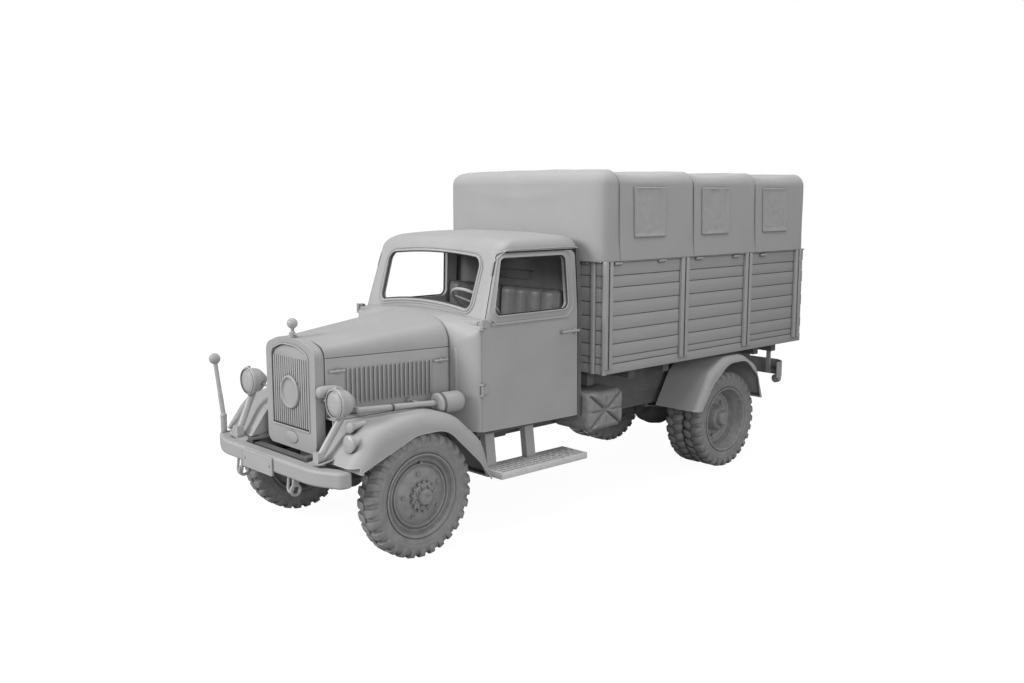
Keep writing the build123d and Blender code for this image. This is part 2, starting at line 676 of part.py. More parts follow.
def cab_section(inset=0.0):
    """The cab's cross-section: upright sides, leaning in above the belt, under an arched roof."""
    return mirrored([(0, CAB_Z - 60), (CAB_HALF - inset, CAB_Z - 60), (CAB_HALF - inset, BELT_Z, 700),
                     (CAB_TOP_HALF - inset, EAVES_Z - 10, 60), (CAB_TOP_HALF - 44 - inset, ROOF_Z - 72 - inset, 110),
                     (420, ROOF_Z - 4 - inset, 500), (0, ROOF_Z - inset)])


def wall_ring():
    """The cab's walls as one thick tube along the truck, from which doors and pillars are cut."""
    return along_y(cab_section(), 500, 2000) - along_y(cab_section(WALL_T), 499, 2001)


def screen_y(z):
    """Where the raked front face of the cab stands at a height."""
    return SCREEN_Y + (z - BELT_Z) * RAKE


def cab_hull():
    """The space inside the cab's upper front, its corner pillars rounded over in plan."""
    def plan(z, half):
        front = screen_y(z) - 1
        return face_of(mirrored([(0, front), (half, front, PILLAR_R), (half, 2100), (0, 2100)]), lambda x, y: (x, y, z))

    lean = (CAB_HALF - CAB_TOP_HALF) / (EAVES_Z - 10 - BELT_Z)
    top = ROOF_Z + 24
    upper = loft([plan(BELT_Z, CAB_HALF + 3), plan(top, CAB_HALF + 3 - lean * (top - BELT_Z))], ruled=True)
    return upper + block(-1000, 1000, 0, 2100, 600, BELT_Z)


def door_outline(gap=0.0):
    """The left door's outline in side view, grown all round by a gap."""
    top = EAVES_Z - 12
    return [(DOOR_Y - gap, CAB_Z - 2 - gap, 10), (DOOR_Y - gap, BELT_Z - 8, 8),
            (screen_y(BELT_Z) + 15 - gap, BELT_Z - 3), (screen_y(top) + 15 - gap, top + gap, 50),
            (DOOR_REAR - 12 + gap, top + gap, 60), (DOOR_REAR + gap, CAB_Z - 22 - gap, 10)]


def door():
    """The left door with its window, belt moulding, handle and hinge barrels."""
    panel = along_x(door_outline(), 600, 1000) & wall_ring()
    sill = BELT_Z + 35
    head = EAVES_Z - 48
    window = [(screen_y(sill) + 70, sill, 50), (screen_y(head) + 38, head, 40), (DOOR_REAR - 130, head, 55),
              (DOOR_REAR - 118, sill, 60)]
    panel = (panel & cab_hull()) - along_x(window, 600, 1000)
    belt = block(CAB_HALF - 6, CAB_HALF + 8, DOOR_Y + 95, DOOR_REAR - 120, BELT_Z - 36, BELT_Z - 18)
    pieces = [panel, belt]
    grip_z = BELT_Z - 155
    for end in (DOOR_REAR - 205, DOOR_REAR - 40):
        pieces.append(rod((CAB_HALF - 6, end, grip_z), (CAB_HALF + 34, end, grip_z), 9))
    pieces.append(rod((CAB_HALF + 34, DOOR_REAR - 215, grip_z), (CAB_HALF + 34, DOOR_REAR - 20, grip_z), 11))
    for z in DOOR_HINGES:
        pieces.append(rod((HINGE_AXIS_X, HINGE_AXIS_Y, z - HINGE_HALF), (HINGE_AXIS_X, HINGE_AXIS_Y, z + HINGE_HALF),
                          HINGE_R))
        pieces.append(block(CAB_HALF + 2, HINGE_AXIS_X + 5, HINGE_AXIS_Y, DOOR_Y + 34, z - 30, z + 30))
        pieces.append(block(CAB_HALF - 6, CAB_HALF + 4, DOOR_Y + 4, DOOR_Y + 34, z - 30, z + 30))
    return fuse(pieces)


def cowl():
    """The cab's front wall, flaring from the hood's end to the full width, with the scuttle over it."""
    def section(y, half, top, crown_r, side_r, foot):
        centre, side, meet = hood_arc(half, top, crown_r, side_r)
        side_mid = ((meet - side).normalized() + Vector(1, 0)).normalized() * side_r + side
        side_end = side + Vector(side_r, 0)

        def on(x, z):
            return (x, y, z)

        edges = [ThreePointArc(on(-meet.X, meet.Y), on(0, top), on(meet.X, meet.Y)),
                 ThreePointArc(on(meet.X, meet.Y), on(side_mid.X, side_mid.Y), on(side_end.X, side_end.Y)),
                 Line(on(side_end.X, side_end.Y), on(half, foot)), Line(on(half, foot), on(-half, foot)),
                 Line(on(-half, foot), on(-side_end.X, side_end.Y)),
                 ThreePointArc(on(-side_end.X, side_end.Y), on(-side_mid.X, side_mid.Y), on(-meet.X, meet.Y))]
        return make_face(edges)

    rear_y = DOOR_Y - DOOR_GAP
    front = section(COWL_Y, HOOD_REAR_HALF, HOOD_REAR_TOP - 8, 1150, 190, CAB_Z)
    rear = section(rear_y, CAB_HALF, HOOD_REAR_TOP - 22, 2600, 150, CAB_Z)
    wall = loft([front, rear], ruled=True)
    scuttle = along_x([(rear_y - 10, BELT_Z - 60), (rear_y - 10, HOOD_REAR_TOP - 30),
                       (screen_y(BELT_Z) - 1, HOOD_REAR_TOP - 36), (screen_y(BELT_Z) - 1, BELT_Z - 60)],
                      -CAB_HALF + WALL_T + 8, CAB_HALF - WALL_T - 8)
    dash = block(-CAB_HALF + WALL_T + 8, CAB_HALF - WALL_T - 8, rear_y - 1, rear_y + 90, BELT_Z - 145, BELT_Z - 40)
    lugs = []
    for z, sides in ((DOOR_HINGES[0], (-1,)), (DOOR_HINGES[1], (-1, 1))):
        for side in sides:
            near = z + side * (HINGE_HALF + RUN_GAP)
            low, high = sorted((near, near + side * 16))
            pin = rod((HINGE_AXIS_X, HINGE_AXIS_Y, low), (HINGE_AXIS_X, HINGE_AXIS_Y, high), HINGE_R)
            lugs += both(fuse([pin, block(CAB_HALF - WALL_T - 22, HINGE_AXIS_X, HINGE_AXIS_Y - 8, HINGE_AXIS_Y + 2,
                                          low, high)]))
    return fuse([wall, scuttle, dash] + lugs)


def screen_frame():
    """The raked front panel above the scuttle with its opening, lapping the door's leading edge."""
    low = BELT_Z + 4
    outline = [(screen_y(low), low), (screen_y(EAVES_Z), EAVES_Z), (screen_y(EAVES_Z) + SCREEN_T, EAVES_Z),
               (screen_y(low) + SCREEN_T, low)]
    slab = along_x(outline, -CAB_HALF, CAB_HALF) & along_y(cab_section(), 500, 2000)
    opening = mirrored([(0, SCREEN_Z), (SCREEN_HALF, SCREEN_Z - 48, 70), (SCREEN_TOP_HALF, SCREEN_TOP - 32, 80),
                        (0, SCREEN_TOP)])
    slab = slab - along_y(opening, 500, 1200)
    lap = along_x(door_outline(DOOR_GAP), CAB_HALF - WALL_T - 52, CAB_HALF + 60)
    lap = lap & along_x([(screen_y(BELT_Z - 200) + SCREEN_FLANGE, BELT_Z - 200),
                         (screen_y(ROOF_Z) + SCREEN_FLANGE, ROOF_Z), (1700, ROOF_Z), (1700, BELT_Z - 200)], 0, 1000)
    return (slab - lap - other_side(lap)) & cab_hull()


def roof():
    """The pressed roof, rolled down to the screen in front, hollow below."""
    side = [(screen_y(EAVES_Z), EAVES_Z), (screen_y(EAVES_Z) + 20, EAVES_Z + 76, 90), (1090, ROOF_Z, 560),
            (BACK_Y + BACK_T, ROOF_Z + 1, 70), (BACK_Y + BACK_T, EAVES_Z)]
    shell = along_x(side, -CAB_HALF, CAB_HALF) & along_y(cab_section(), 500, 2000) & cab_hull()
    half = CAB_TOP_HALF - WALL_T
    hollow = mirrored([(0, EAVES_Z - 1), (half, EAVES_Z - 1), (half - 14, ROOF_Z - 70, 50), (420, ROOF_Z - 42, 300),
                       (0, ROOF_Z - 38)])
    front = screen_y(EAVES_Z) + 130
    cavity = along_y(hollow, front, BACK_Y)
    drips = [block(CAB_TOP_HALF - 10, CAB_TOP_HALF + 8, 1010, BACK_Y, EAVES_Z + 1, EAVES_Z + 13)]
    return fuse([shell - cavity] + drips + [other_side(d) for d in drips])


def cab_back():
    """The rear wall with a small window, its edges the door pillars."""
    wall = along_y(cab_section(), BACK_Y, BACK_Y + BACK_T) & block(-900, 900, 0, 4000, CAB_Z - 40, EAVES_Z)
    window = mirrored([(0, 1930), (270, 1930, 40), (270, 2130, 40), (0, 2130)])
    return wall - along_y(window, BACK_Y - 5, BACK_Y + BACK_T + 5)


def cab_floor():
    """The cab floor on the rails, from the cowl to the rear wall."""
    half = CAB_HALF - WALL_T - 8
    return block(-half, half, DOOR_Y - DOOR_GAP, BACK_Y, CAB_Z - 40, CAB_Z - 40 + FLOOR_T)


def seat():
    """The bench: box base, cushion and raked back."""
    half = CAB_HALF - WALL_T - 55
    floor = CAB_Z - 40 + FLOOR_T
    base = block(-half + 20, half - 20, 1190, 1660, floor, 1245)
    cushion = along_x([(1120, 1245, 20), (1120, 1375, 60), (1680, 1345, 30), (1680, 1245, 20)], -half, half)
    back = along_x([(1560, 1350.9, 20), (1600, 1880, 55), (1715, 1890, 45), (1690, 1350.9, 20)], -half, half)
    return base, cushion, back


WHEEL_HUB = (390.0, 985.0, 1790.0)
WHEEL_LEAN = 38.0
WHEEL_R = 215.0
COLUMN_R = 24.0


def column_axis():
    """The direction in which the steering column rises."""
    lean = math.radians(WHEEL_LEAN)
    return Vector(0, math.sin(lean), math.cos(lean))


def steering_column():
    """The fixed tube from the floor up to the steering wheel."""
    axis = column_axis()
    top = Vector(*WHEEL_HUB) - axis * 45
    wall = DOOR_Y - DOOR_GAP + COLUMN_R * axis.Z + RUN_GAP
    foot = top - axis * ((top.Y - wall) / axis.Y)
    return rod(tuple(foot), tuple(top), COLUMN_R)


def steering_wheel():
    """A thin rim on three spokes and a hub."""
    axis = column_axis()
    hub = Vector(*WHEEL_HUB)
    plane = Plane(origin=hub, z_dir=axis, x_dir=(1, 0, 0))
    pieces = [plane * Torus(WHEEL_R, 13), plane * Cylinder(36, 36)]
    for angle in (90, 210, 330):
        reach = Vector(math.cos(math.radians(angle)), math.sin(math.radians(angle)), 0) * WHEEL_R
        pieces.append(rod(tuple(hub), tuple(plane.from_local_coords(reach)), 9))
    pieces.append(rod(tuple(hub - axis * 44), tuple(hub), 16))
    return fuse(pieces)


# --- fenders and steps ---

def inset(outline, depth):
    """A closed outline of (a, b, radius) points moved inwards by a depth."""
    moved = []
    count = len(outline)
    area = sum(outline[i - 1][0] * outline[i][1] - outline[i][0] * outline[i - 1][1] for i in range(count))
    turn = depth if area < 0 else -depth
    for i, point in enumerate(outline):
        here = Vector(point[0], point[1])
        ahead = Vector(*outline[(i + 1) % count][:2]) - here
        behind = here - Vector(*outline[i - 1][:2])
        side_a = Vector(behind.Y, -behind.X).normalized()
        side_b = Vector(ahead.Y, -ahead.X).normalized()
        corner = (side_a + side_b) * (turn / (1 + side_a.dot(side_b)))
        radius = point[2] if len(point) > 2 else 0.0
        moved.append((here.X + corner.X, here.Y + corner.Y, max(radius - depth, 0.0)))
    return moved


def crowned(outline, low, high, radius, top_line=None, drop=0.0):
    """The solid under a crown line, its outer edge rounded over and its top cut to a sloping line."""
    solid = along_x(outline, low, high)
    edges = [edge for edge in solid.edges().group_by(Axis.X)[-1] if 100 < edge.length < 1000]
    solid = fillet(edges, radius)
    if top_line is None:
        return solid
    lid = [(x, z - drop) for x, z in top_line]
    return solid & along_y([(low - 50, -500)] + lid + [(high + 50, -500)], -3000, 8000)


def shell_fender(crown, opening, x_in, x_out, edge_r, top_line=None):
    """A fender pressed from sheet: a crowned skin, rolled over at its outer edge, with its wheel arch."""
    outer = crowned(crown, x_in, x_out, edge_r, top_line)
    inner = crowned(inset(crown, FENDER_T), x_in + FENDER_T, x_out - FENDER_T, edge_r - FENDER_T, top_line, FENDER_T)
    return outer - inner - along_x(opening, x_in + FENDER_T, x_out + 50) - along_x(opening, x_in - 5, x_in + 50)


FRONT_EDGE_R = 110.0
FRONT_CROWN = [(-560, 742), (-560, 790), (-625, 785), (-440, 1033, 300), (-60, FENDER_CROWN + 28, 700),
               (330, FENDER_CROWN - 53, 380), (610, 790, 300), (705, 486)]
FRONT_TOP_LINE = [(FENDER_IN - 50, 1037), (FENDER_IN + 16, 1037), (690, FENDER_CROWN - 25), (770, FENDER_CROWN),
                  (FENDER_OUT + 50, FENDER_CROWN)]


def front_fender():
    """The left front fender with the shelf that carries it from the hood side."""
    opening = [(-546, 300), (-546, 762), (-70, 952, 300), (215, 952, 250), (540, 640, 300), (655, 440), (655, 300)]
    skin = shell_fender(FRONT_CROWN, opening, FENDER_IN, FENDER_OUT, FRONT_EDGE_R, FRONT_TOP_LINE)
    front = RADIATOR_BACK + HOOD_GAP
    shelf_z = HOOD_SIDE_Z - 13
    shelf = along_z([(hood_side_x(front) - 30, front), (FENDER_IN + 6, front), (FENDER_IN + 6, 260),
                     (hood_side_x(HOOD_REAR_Y), HOOD_REAR_Y), (hood_side_x(HOOD_REAR_Y) - 60, HOOD_REAR_Y)],
                    shelf_z, HOOD_SIDE_Z)
    apron = block(RAIL_X + RAIL_W / 2 + 2, RAIL_X + RAIL_W / 2 + 14, front, 560, RAIL_TOP - 60, shelf_z + 2)
    feet = [block(RAIL_X + RAIL_W / 2, RAIL_X + RAIL_W / 2 + 4, y, y + 60, RAIL_TOP - 60, RAIL_TOP - 10)
            for y in (-300, 300)]
    return fuse([skin, shelf, apron] + feet)


def rear_fender():
    """The left rear fender over the twin wheels, hung from the bed."""
    mid = REAR_AXLE
    crown = [(mid - 610, 645), (mid - 400, 985, 220), (mid - 150, 1124, 260), (mid + 150, 1124, 260),
             (mid + 400, 985, 220), (mid + 525, 645)]
    opening = [(mid - 530, 300), (mid - 530, 640), (mid - 360, 880, 250), (mid - 110, 1062, 260),
               (mid + 190, 1062, 200), (mid + 400, 880, 200), (mid + 458, 640), (mid + 458, 300)]
    skin = shell_fender(crown, opening, REAR_FENDER_IN, REAR_FENDER_OUT, 60)
    stays = [block(REAR_FENDER_IN + 40, REAR_FENDER_IN + 70, y, y + 40, 1110, BED_Z) for y in (mid - 120, mid + 80)]
    return fuse([skin] + stays)


def steps():
    """The left step with its ribbed top, on two thick hangers from the rail."""
    board = block(STEP_IN, STEP_OUT, 760, 1745, STEP_Z, STEP_Z + STEP_T)
    pieces = [board]
    for i in range(6):
        x = STEP_IN + 30 + i * (STEP_OUT - STEP_IN - 60) / 5
        pieces.append(block(x - 6, x + 6, 790, 1715, STEP_Z + STEP_T - 2, STEP_Z + STEP_T + 5))
    hanger = [(RAIL_X + RAIL_W / 2, RAIL_TOP), (STEP_IN + 44, RAIL_TOP), (STEP_IN + 84, STEP_Z + 20),
              (STEP_IN + 20, STEP_Z + 20), (STEP_IN - 14, RAIL_TOP - 48), (RAIL_X + RAIL_W / 2, RAIL_TOP - 48)]
    for y in (848.0, 1290.0):
        pieces.append(along_y(hanger, y - HANGER_HALF, y + HANGER_HALF))
    return fuse(pieces)


# --- lamps and fittings on the nose ---

def headlamp():
    """The left headlamp: bowl, rim and domed lens on a raking stalk from the bumper."""
    face_y = -560.0
    x = 624.0
    z = 1200.0
    outline = [(0, face_y - 14), (60, face_y - 10, 60), (100, face_y + 4), (112, face_y + 4, 5), (112, face_y + 26, 5),
               (103, face_y + 28), (92, face_y + 100, 60), (30, face_y + 165, 30), (0, face_y + 165)]
    bowl = revolve(face_of(outline, lambda r, y: (x + r, y, z)), Axis((x, 0, z), (0, 1, 0)), 360)
    stand = BUMPER_Z + BUMPER_H
    stalk = rod((585.0, BUMPER_BACK + 15, stand + 60), (640.0, face_y + 60, z - 85), 27)
    base = block(552, 618, BUMPER_BACK - 22, BUMPER_BACK + 38, stand, stand + 95)
    brace = rod((x - 80, face_y + 90, z - 25), (RADIATOR_HALF, face_y + 90, z - 25), 12)
    return fuse([bowl, stalk, base, brace])


def fender_lamps():
    """The two small lamps seated on the left fender's front slope."""
    seat = crowned(FRONT_CROWN, FENDER_IN, FENDER_OUT, FRONT_EDGE_R, FRONT_TOP_LINE)
    pieces = []
    for x, y, z, radius in ((705.0, -500.0, 1035.0, 42.0), (800.0, -570.0, 940.0, 62.0)):
        outline = [(0, y - 12), (radius * 0.8, y - 4, 15), (radius, y + 4), (radius, y + 24), (radius * 0.8, y + 34),
                   (radius * 0.8, y + 140), (0, y + 140)]
        face = face_of(outline, lambda r, v, x=x, z=z: (x + r, v, z))
        pieces.append(revolve(face, Axis((x, 0, z), (0, 1, 0)), 360) - seat)
    return pieces


def horn():
    """A round-nosed horn between the left lamp and the radiator."""
    x = 462.0
    z = 1262.0
    outline = [(0, -600), (42, -590, 30), (46, -540), (40, -440, 20), (18, -380, 10), (0, -376)]
    body = revolve(face_of(outline, lambda r, y: (x + r, y, z)), Axis((x, 0, z), (0, 1, 0)), 360)
    stub = rod((x, RADIATOR_Y + 50, z), (RADIATOR_HALF, RADIATOR_Y + 50, z), 10)
    return fuse([body, stub])


def air_canister():
    """The pipe along the left hood side and the domed canister at its rear end."""
    x = 690.0
    z = 1085.0
    start = (600.0, -330.0, 1118.0)
    pipe = rod(start, (x - 12, 345, z + 6), 24)
    outline = [(0, 318), (70, 318), (88, 328, 8), (88, 362, 8), (83, 367), (83, 545, 60), (0, 590)]
    body = revolve(face_of(outline, lambda r, y: (x + r, y, z)), Axis((x, 0, z), (0, 1, 0)), 360)
    pieces = [pipe, ball(start, 24), body]
    for y, reach in ((-250.0, 612.0), (200.0, 665.0)):
        pieces.append(block(hood_side_x(y + 30), reach, y, y + 30, HOOD_SIDE_Z + 46, HOOD_SIDE_Z + 60))
    return fuse(pieces) - crowned(FRONT_CROWN, FENDER_IN, FENDER_OUT, FRONT_EDGE_R, FRONT_TOP_LINE)


# --- bed and cover ---

def boarded(width_a, width_b, thick, face, draw):
    """A wall of boards, every other one standing proud; draw(a0, a1, depth0, depth1, z0, z1) makes a box."""
    levels = (BED_Z,) + BOARD_LINES + (BED_TOP,)
    pieces = []
    for i in range(len(levels) - 1):
        proud = 0.0 if i % 2 else BOARD_STEP
        pieces.append(draw(width_a, width_b, face - thick, face - BOARD_STEP + proud, levels[i], levels[i + 1]))
    return fuse(pieces)


def bed_side():
    """The left side of the bed: boards and double-ribbed posts."""
    face = BED_HALF - POST_T
    wall = boarded(BED_Y + BOARD_T + 10, BED_REAR, BOARD_T, face,
                   lambda a0, a1, d0, d1, z0, z1: block(d0, d1, a0, a1, z0, z1))
    pieces = [wall]
    for y0, y1 in POSTS:
        middle = (y0 + y1) / 2
        base_y0 = max(y0, BED_Y + BOARD_T + 10)
        pieces.append(block(face - BOARD_STEP - 2, face + POST_T * 0.4, base_y0, y1, BED_Z + 60, BED_TOP))
        for low, high in ((base_y0, middle - 8), (middle + 8, y1)):
            if high - low > 10:
                pieces.append(block(face - BOARD_STEP - 2, BED_HALF, low, high, BED_Z + 60, BED_TOP))
    return fuse(pieces)


def bed_front():
    """The bed's front wall, its corner posts wrapping onto the sides."""
    face = BED_Y + POST_T
    wall = boarded(-BED_HALF + POST_T, BED_HALF - POST_T, BOARD_T - 10, -face,
                   lambda a0, a1, d0, d1, z0, z1: block(a0, a1, -d1, -d0, z0, z1))
    pieces = [wall]
    for x in (-BED_HALF + 40, BED_HALF - 40):
        pieces.append(block(x - 40, x + 40, BED_Y, face + 10, BED_Z, BED_TOP))
    for x in (-560.0, 0.0, 560.0):
        pieces.append(block(x - 28, x + 28, BED_Y, face + 2, BED_Z, BED_TOP))
    return fuse(pieces)


def bed_floor():
    """The deck of the bed, with the lugs that the gate is hinged on."""
    half = BED_HALF - POST_T - BOARD_T
    rear = BED_REAR - GATE_T - GATE_GAP
    pieces = [block(-half, half, BED_Y + BOARD_T + 10, rear, BED_Z, BED_Z + DECK_T)]
    for hinge in GATE_HINGES:
        for side in (-1, 1):
            near = hinge + side * (GATE_HINGE_HALF + RUN_GAP)
            low, high = sorted((near, near + side * 20))
            pieces.append(rod((low, GATE_AXIS_Y, GATE_HINGE_Z), (high, GATE_AXIS_Y, GATE_HINGE_Z), GATE_HINGE_R))
            pieces.append(block(low, high, rear - 5, GATE_AXIS_Y, BED_Z, BED_Z + DECK_T / 2 - 6))
    return fuse(pieces)


def bed_bearers():
    """Two long sills on the rails and the cross bearers that carry the deck."""
    sill_top = BED_Z - 120
    pieces = []
    for side in (-1, 1):
        x = side * RAIL_X
        pieces.append(block(x - 45, x + 45, BED_Y + 20, FRAME_REAR, RAIL_TOP, sill_top))
    wide = BED_HALF - 240
    narrow = REAR_FENDER_IN - 20
    for y in (BED_Y + 60, 2500.0, 3000.0, 3450.0, 4000.0, 4500.0, FRAME_REAR - 90):
        near = abs(y + 40 - REAR_AXLE) < 660
        half = narrow if near else wide
        pieces.append(block(-half, half, y, y + 80, sill_top, BED_Z))
    return fuse(pieces)


def tailgate():
    """The gate: boards, two ribs and the barrels it drops on."""
    half = BED_HALF - POST_T - BOARD_T - GATE_GAP
    foot = BED_Z + DECK_T * 0.5
    levels = tuple(z for z in BOARD_LINES if z > foot) + (BED_TOP - GATE_GAP,)
    face = BED_REAR
    pieces = []
    low = foot
    for i, high in enumerate(levels):
        proud = 0.0 if i % 2 else BOARD_STEP
        pieces.append(block(-half, half, face - GATE_T, face - BOARD_STEP + proud, low, high))
        low = high
    for x in (-600.0, 0.0, 600.0):
        pieces.append(block(x - 30, x + 30, face - BOARD_STEP - 1, face + 6, foot + 40, BED_TOP - GATE_GAP))
    hinge_z = GATE_HINGE_Z
    for x in GATE_HINGES:
        pieces.append(rod((x - GATE_HINGE_HALF, GATE_AXIS_Y, hinge_z), (x + GATE_HINGE_HALF, GATE_AXIS_Y, hinge_z), GATE_HINGE_R))
        pieces.append(block(x - 30, x + 30, face - 4, GATE_AXIS_Y + 4, hinge_z, foot + 60))
    return fuse(pieces)


def cover():
    """The canvas cover: front, roof and sides in one skin, open below and through its rear flap."""
    half = BED_HALF + 2
    foot = BED_TOP + RUN_GAP
    outline = mirrored([(0, foot), (half, foot), (half - 14, COVER_TOP - 190, 300), (half - 70, COVER_TOP - 22, COVER_R),
                        (0, COVER_TOP)])
    inner = mirrored([(0, foot - 1), (half - COVER_T, foot - 1), (half - COVER_T - 14, COVER_TOP - 190, 300),
                      (half - 70 - COVER_T, COVER_TOP - 22 - COVER_T, COVER_R - COVER_T), (0, COVER_TOP - COVER_T)])
    skin = along_y(outline, BED_Y + 4, BED_REAR) - along_y(inner, BED_Y + 4 + COVER_T, BED_REAR - COVER_T)
    flap = mirrored([(0, foot - 1), (half - 150, foot - 1), (half - 150, COVER_TOP - 260, 60), (0, COVER_TOP - 260)])
    skin = skin - along_y(flap, BED_REAR - 100, BED_REAR + 100)
    pieces = [skin]
    for y0 in (2260.0, 3220.0, 4215.0):
        for side in (-1, 1):
            x = side * half
            pieces.append(block(min(x - side * 22, x - side * 3), max(x - side * 22, x - side * 3), y0, y0 + 430,
                                2310, 2745))
    roll = rod((-half + 160, BED_REAR - 50, COVER_TOP - 235), (half - 160, BED_REAR - 50, COVER_TOP - 235), 42)
    return fuse(pieces + [roll])


def bows():
    """The hoops under the cover, standing on the sides of the bed."""
    half = BED_HALF - 30
    hoops = []
    for y in BOW_Y:
        outer = mirrored([(0, BED_TOP), (half - 2, BED_TOP), (half - 18, COVER_TOP - 190, 250),
                          (half - 72, COVER_TOP - 40, COVER_R - 20), (0, COVER_TOP - 19)])
        inner = mirrored([(0, BED_TOP - 1), (half - 2 - BOW_T, BED_TOP - 1), (half - 18 - BOW_T, COVER_TOP - 190, 250),
                          (half - 72 - BOW_T, COVER_TOP - 40 - BOW_T, COVER_R - 20 - BOW_T), (0, COVER_TOP - 19 - BOW_T)])
        hoops.append(along_y(outer, y - 22, y + 22) - along_y(inner, y - 23, y + 23))
    return hoops


# --- boxes and tail fittings ---

def toolbox():
    """The stowage box under the bed's left front corner, on a bracket from the rail."""
    body = along_y([(470, 655, 45), (905, 655, 55), (905, 992, 60), (470, 992, 45)], 1812, 2265)
    body = fillet(body.edges().filter_by(GeomType.LINE, reverse=False).filter_by(Axis.X), 20)
    return fuse([body] + [block(RAIL_X + RAIL_W / 2, 480, y, y + 40, RAIL_Z + 20, RAIL_TOP - 20) for y in (1880, 2120)])


def fuel_tank():
    """The tank on the right, opposite the toolbox, with its filler neck."""
    body = along_y([(-905, 600, 70), (-905, 970, 70), (-480, 970, 70), (-480, 600, 70)], 1800, 2750)
    neck = rod((-860, 1950, 930), (-915, 1950, 990), 32)
    arms = [block(-485, -RAIL_X - RAIL_W / 2, y, y + 50, RAIL_Z + 20, RAIL_TOP - 20) for y in (1980, 2540)]
    return fuse([body, neck] + arms)


def exhaust():
    """The silencer under the right side and its tail pipe."""
    x = -250.0
    z = 560.0
    can = rod((x, 1900, z), (x, 2650, z), 85)
    tail = rod((x, 2600, z), (x, 3280, z + 10), 27)
    front = rod((x, 600, z + 40), (x, 1910, z), 27)
    hung = [MEMBER_Y[i] + 15 for i in (3, 4)]
    straps = [block(x - 20, x + 20, y, y + 30, z + 70, RAIL_Z + MEMBER_INSET) for y in hung]
    ties = [rod((x, y + 15, z + 5), (x, y + 15, z + 90), 14) for y in hung]
    return fuse([can, tail, front] + straps + ties)


def rear_bumper():
    """The curved tail bar with its stays, the tow jaw and a round lamp below."""
    back = FRAME_REAR
    half = 880.0
    outline = mirrored([(0, back + 60), (half - 90, back + 60, 160), (half, back - 60, 60), (half, back - 150),
                        (half - 14, back - 150), (half - 14, back - 62, 50), (half - 98, back + 46, 150), (0, back + 46)])
    bar = along_z(outline, 765, 930)
    pieces = [bar]
    for side in (-1, 1):
        x = side * RAIL_X
        pieces.append(block(x - 30, x + 30, back, back + 50, RAIL_TOP - 45, RAIL_TOP - 5))
        stay = side * 720.0
        pieces.append(block(stay - 22, stay + 22, back - 85, back - 65, 800, BED_Z - 120))
        pieces.append(block(stay - 22, stay + 22, back - 85, back + 55, 800, 830))
    lamp_x = 750.0
    pieces.append(rod((lamp_x, back + 20, 722), (lamp_x, back + 68, 722), 45))
    pieces.append(block(lamp_x - 12, lamp_x + 12, back + 40, back + 56, 740, 790))
    jaw = block(-60, 60, back + 50, back + 70, 780, 900) + rod((0, back + 60, 815), (0, back + 78, 815), 40)
    pieces.append(jaw)
    return fuse(pieces)


# --- writing the nodes ---

os.makedirs("parts", exist_ok=True)

save("frame", frame())
save("front_axle", front_axle())
save("rear_axle", rear_axle())
save("leaf_springs", *springs())
save("drivetrain", drivetrain())
save("engine", engine())
save("exhaust", exhaust())
save("fuel_tank", fuel_tank())
save("toolbox", toolbox())

save("front_bumper", front_bumper())
save("number_plate", number_plate())
save("marker_rod", marker_rod())
save("radiator_shell", radiator_shell())
save("grille", grille())
save("radiator_cap", radiator_cap())

lid = hood_lid()
save("hood_left", lid)
save("hood_right", other_side(lid))
save("hood_sides", *both(hood_side()))

save("cowl", cowl())
save("screen_frame", screen_frame())
save("cab_roof", roof())
save("cab_back", cab_back())
save("cab_floor", cab_floor())
left_door = door()
save("door_left", left_door)
save("door_right", other_side(left_door))
save("seat", *seat())
save("steering_column", steering_column())
save("steering_wheel", steering_wheel())

save("front_fenders", *both(front_fender()))
save("rear_fenders", *both(rear_fender()))
save("steps", *both(steps()))
save("headlamps", *both(headlamp()))
save("fender_lamps", *fender_lamps())
save("horn", horn())
save("air_canister", air_canister())

save("bed_floor", bed_floor())
save("bed_bearers", bed_bearers())
save("bed_sides", *both(bed_side()))
save("bed_front", bed_front())
save("tailgate", tailgate())
save("cover", cover())
save("bows", *bows())
save("rear_bumper", rear_bumper())

left_knuckle = knuckle()
save("knuckle_left", left_knuckle)
save("knuckle_right", other_side(left_knuckle))
save("tie_rod", tie_rod())
front_tyre, front_rim = front_wheel()
save("front_tyre_left", front_tyre)
save("front_tyre_right", other_side(front_tyre))
save("front_rim_left", front_rim)
save("front_rim_right", other_side(front_rim))
rear_tyres, rear_rims = rear_wheel()
save("rear_tyres_left", *rear_tyres)
save("rear_tyres_right", *[other_side(t) for t in rear_tyres])
save("rear_rims_left", rear_rims)
save("rear_rims_right", other_side(rear_rims))
print("ground to", COVER_TOP, "long", TAIL_Y - NOSE_Y, "middle", MIDDLE_Y)
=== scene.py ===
"""Studio scene of a bonneted cargo truck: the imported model, its fine detail, its finishes and its light.

Pieces are drawn in millimetres with Y from the front axle, as a chassis drawing has it, and piece()
turns them into metres about the truck's middle. X is the truck's left, Y runs to its tail, Z is up.
"""
import bpy
import bmesh
import json
import math
from mathutils import Matrix, Vector, noise


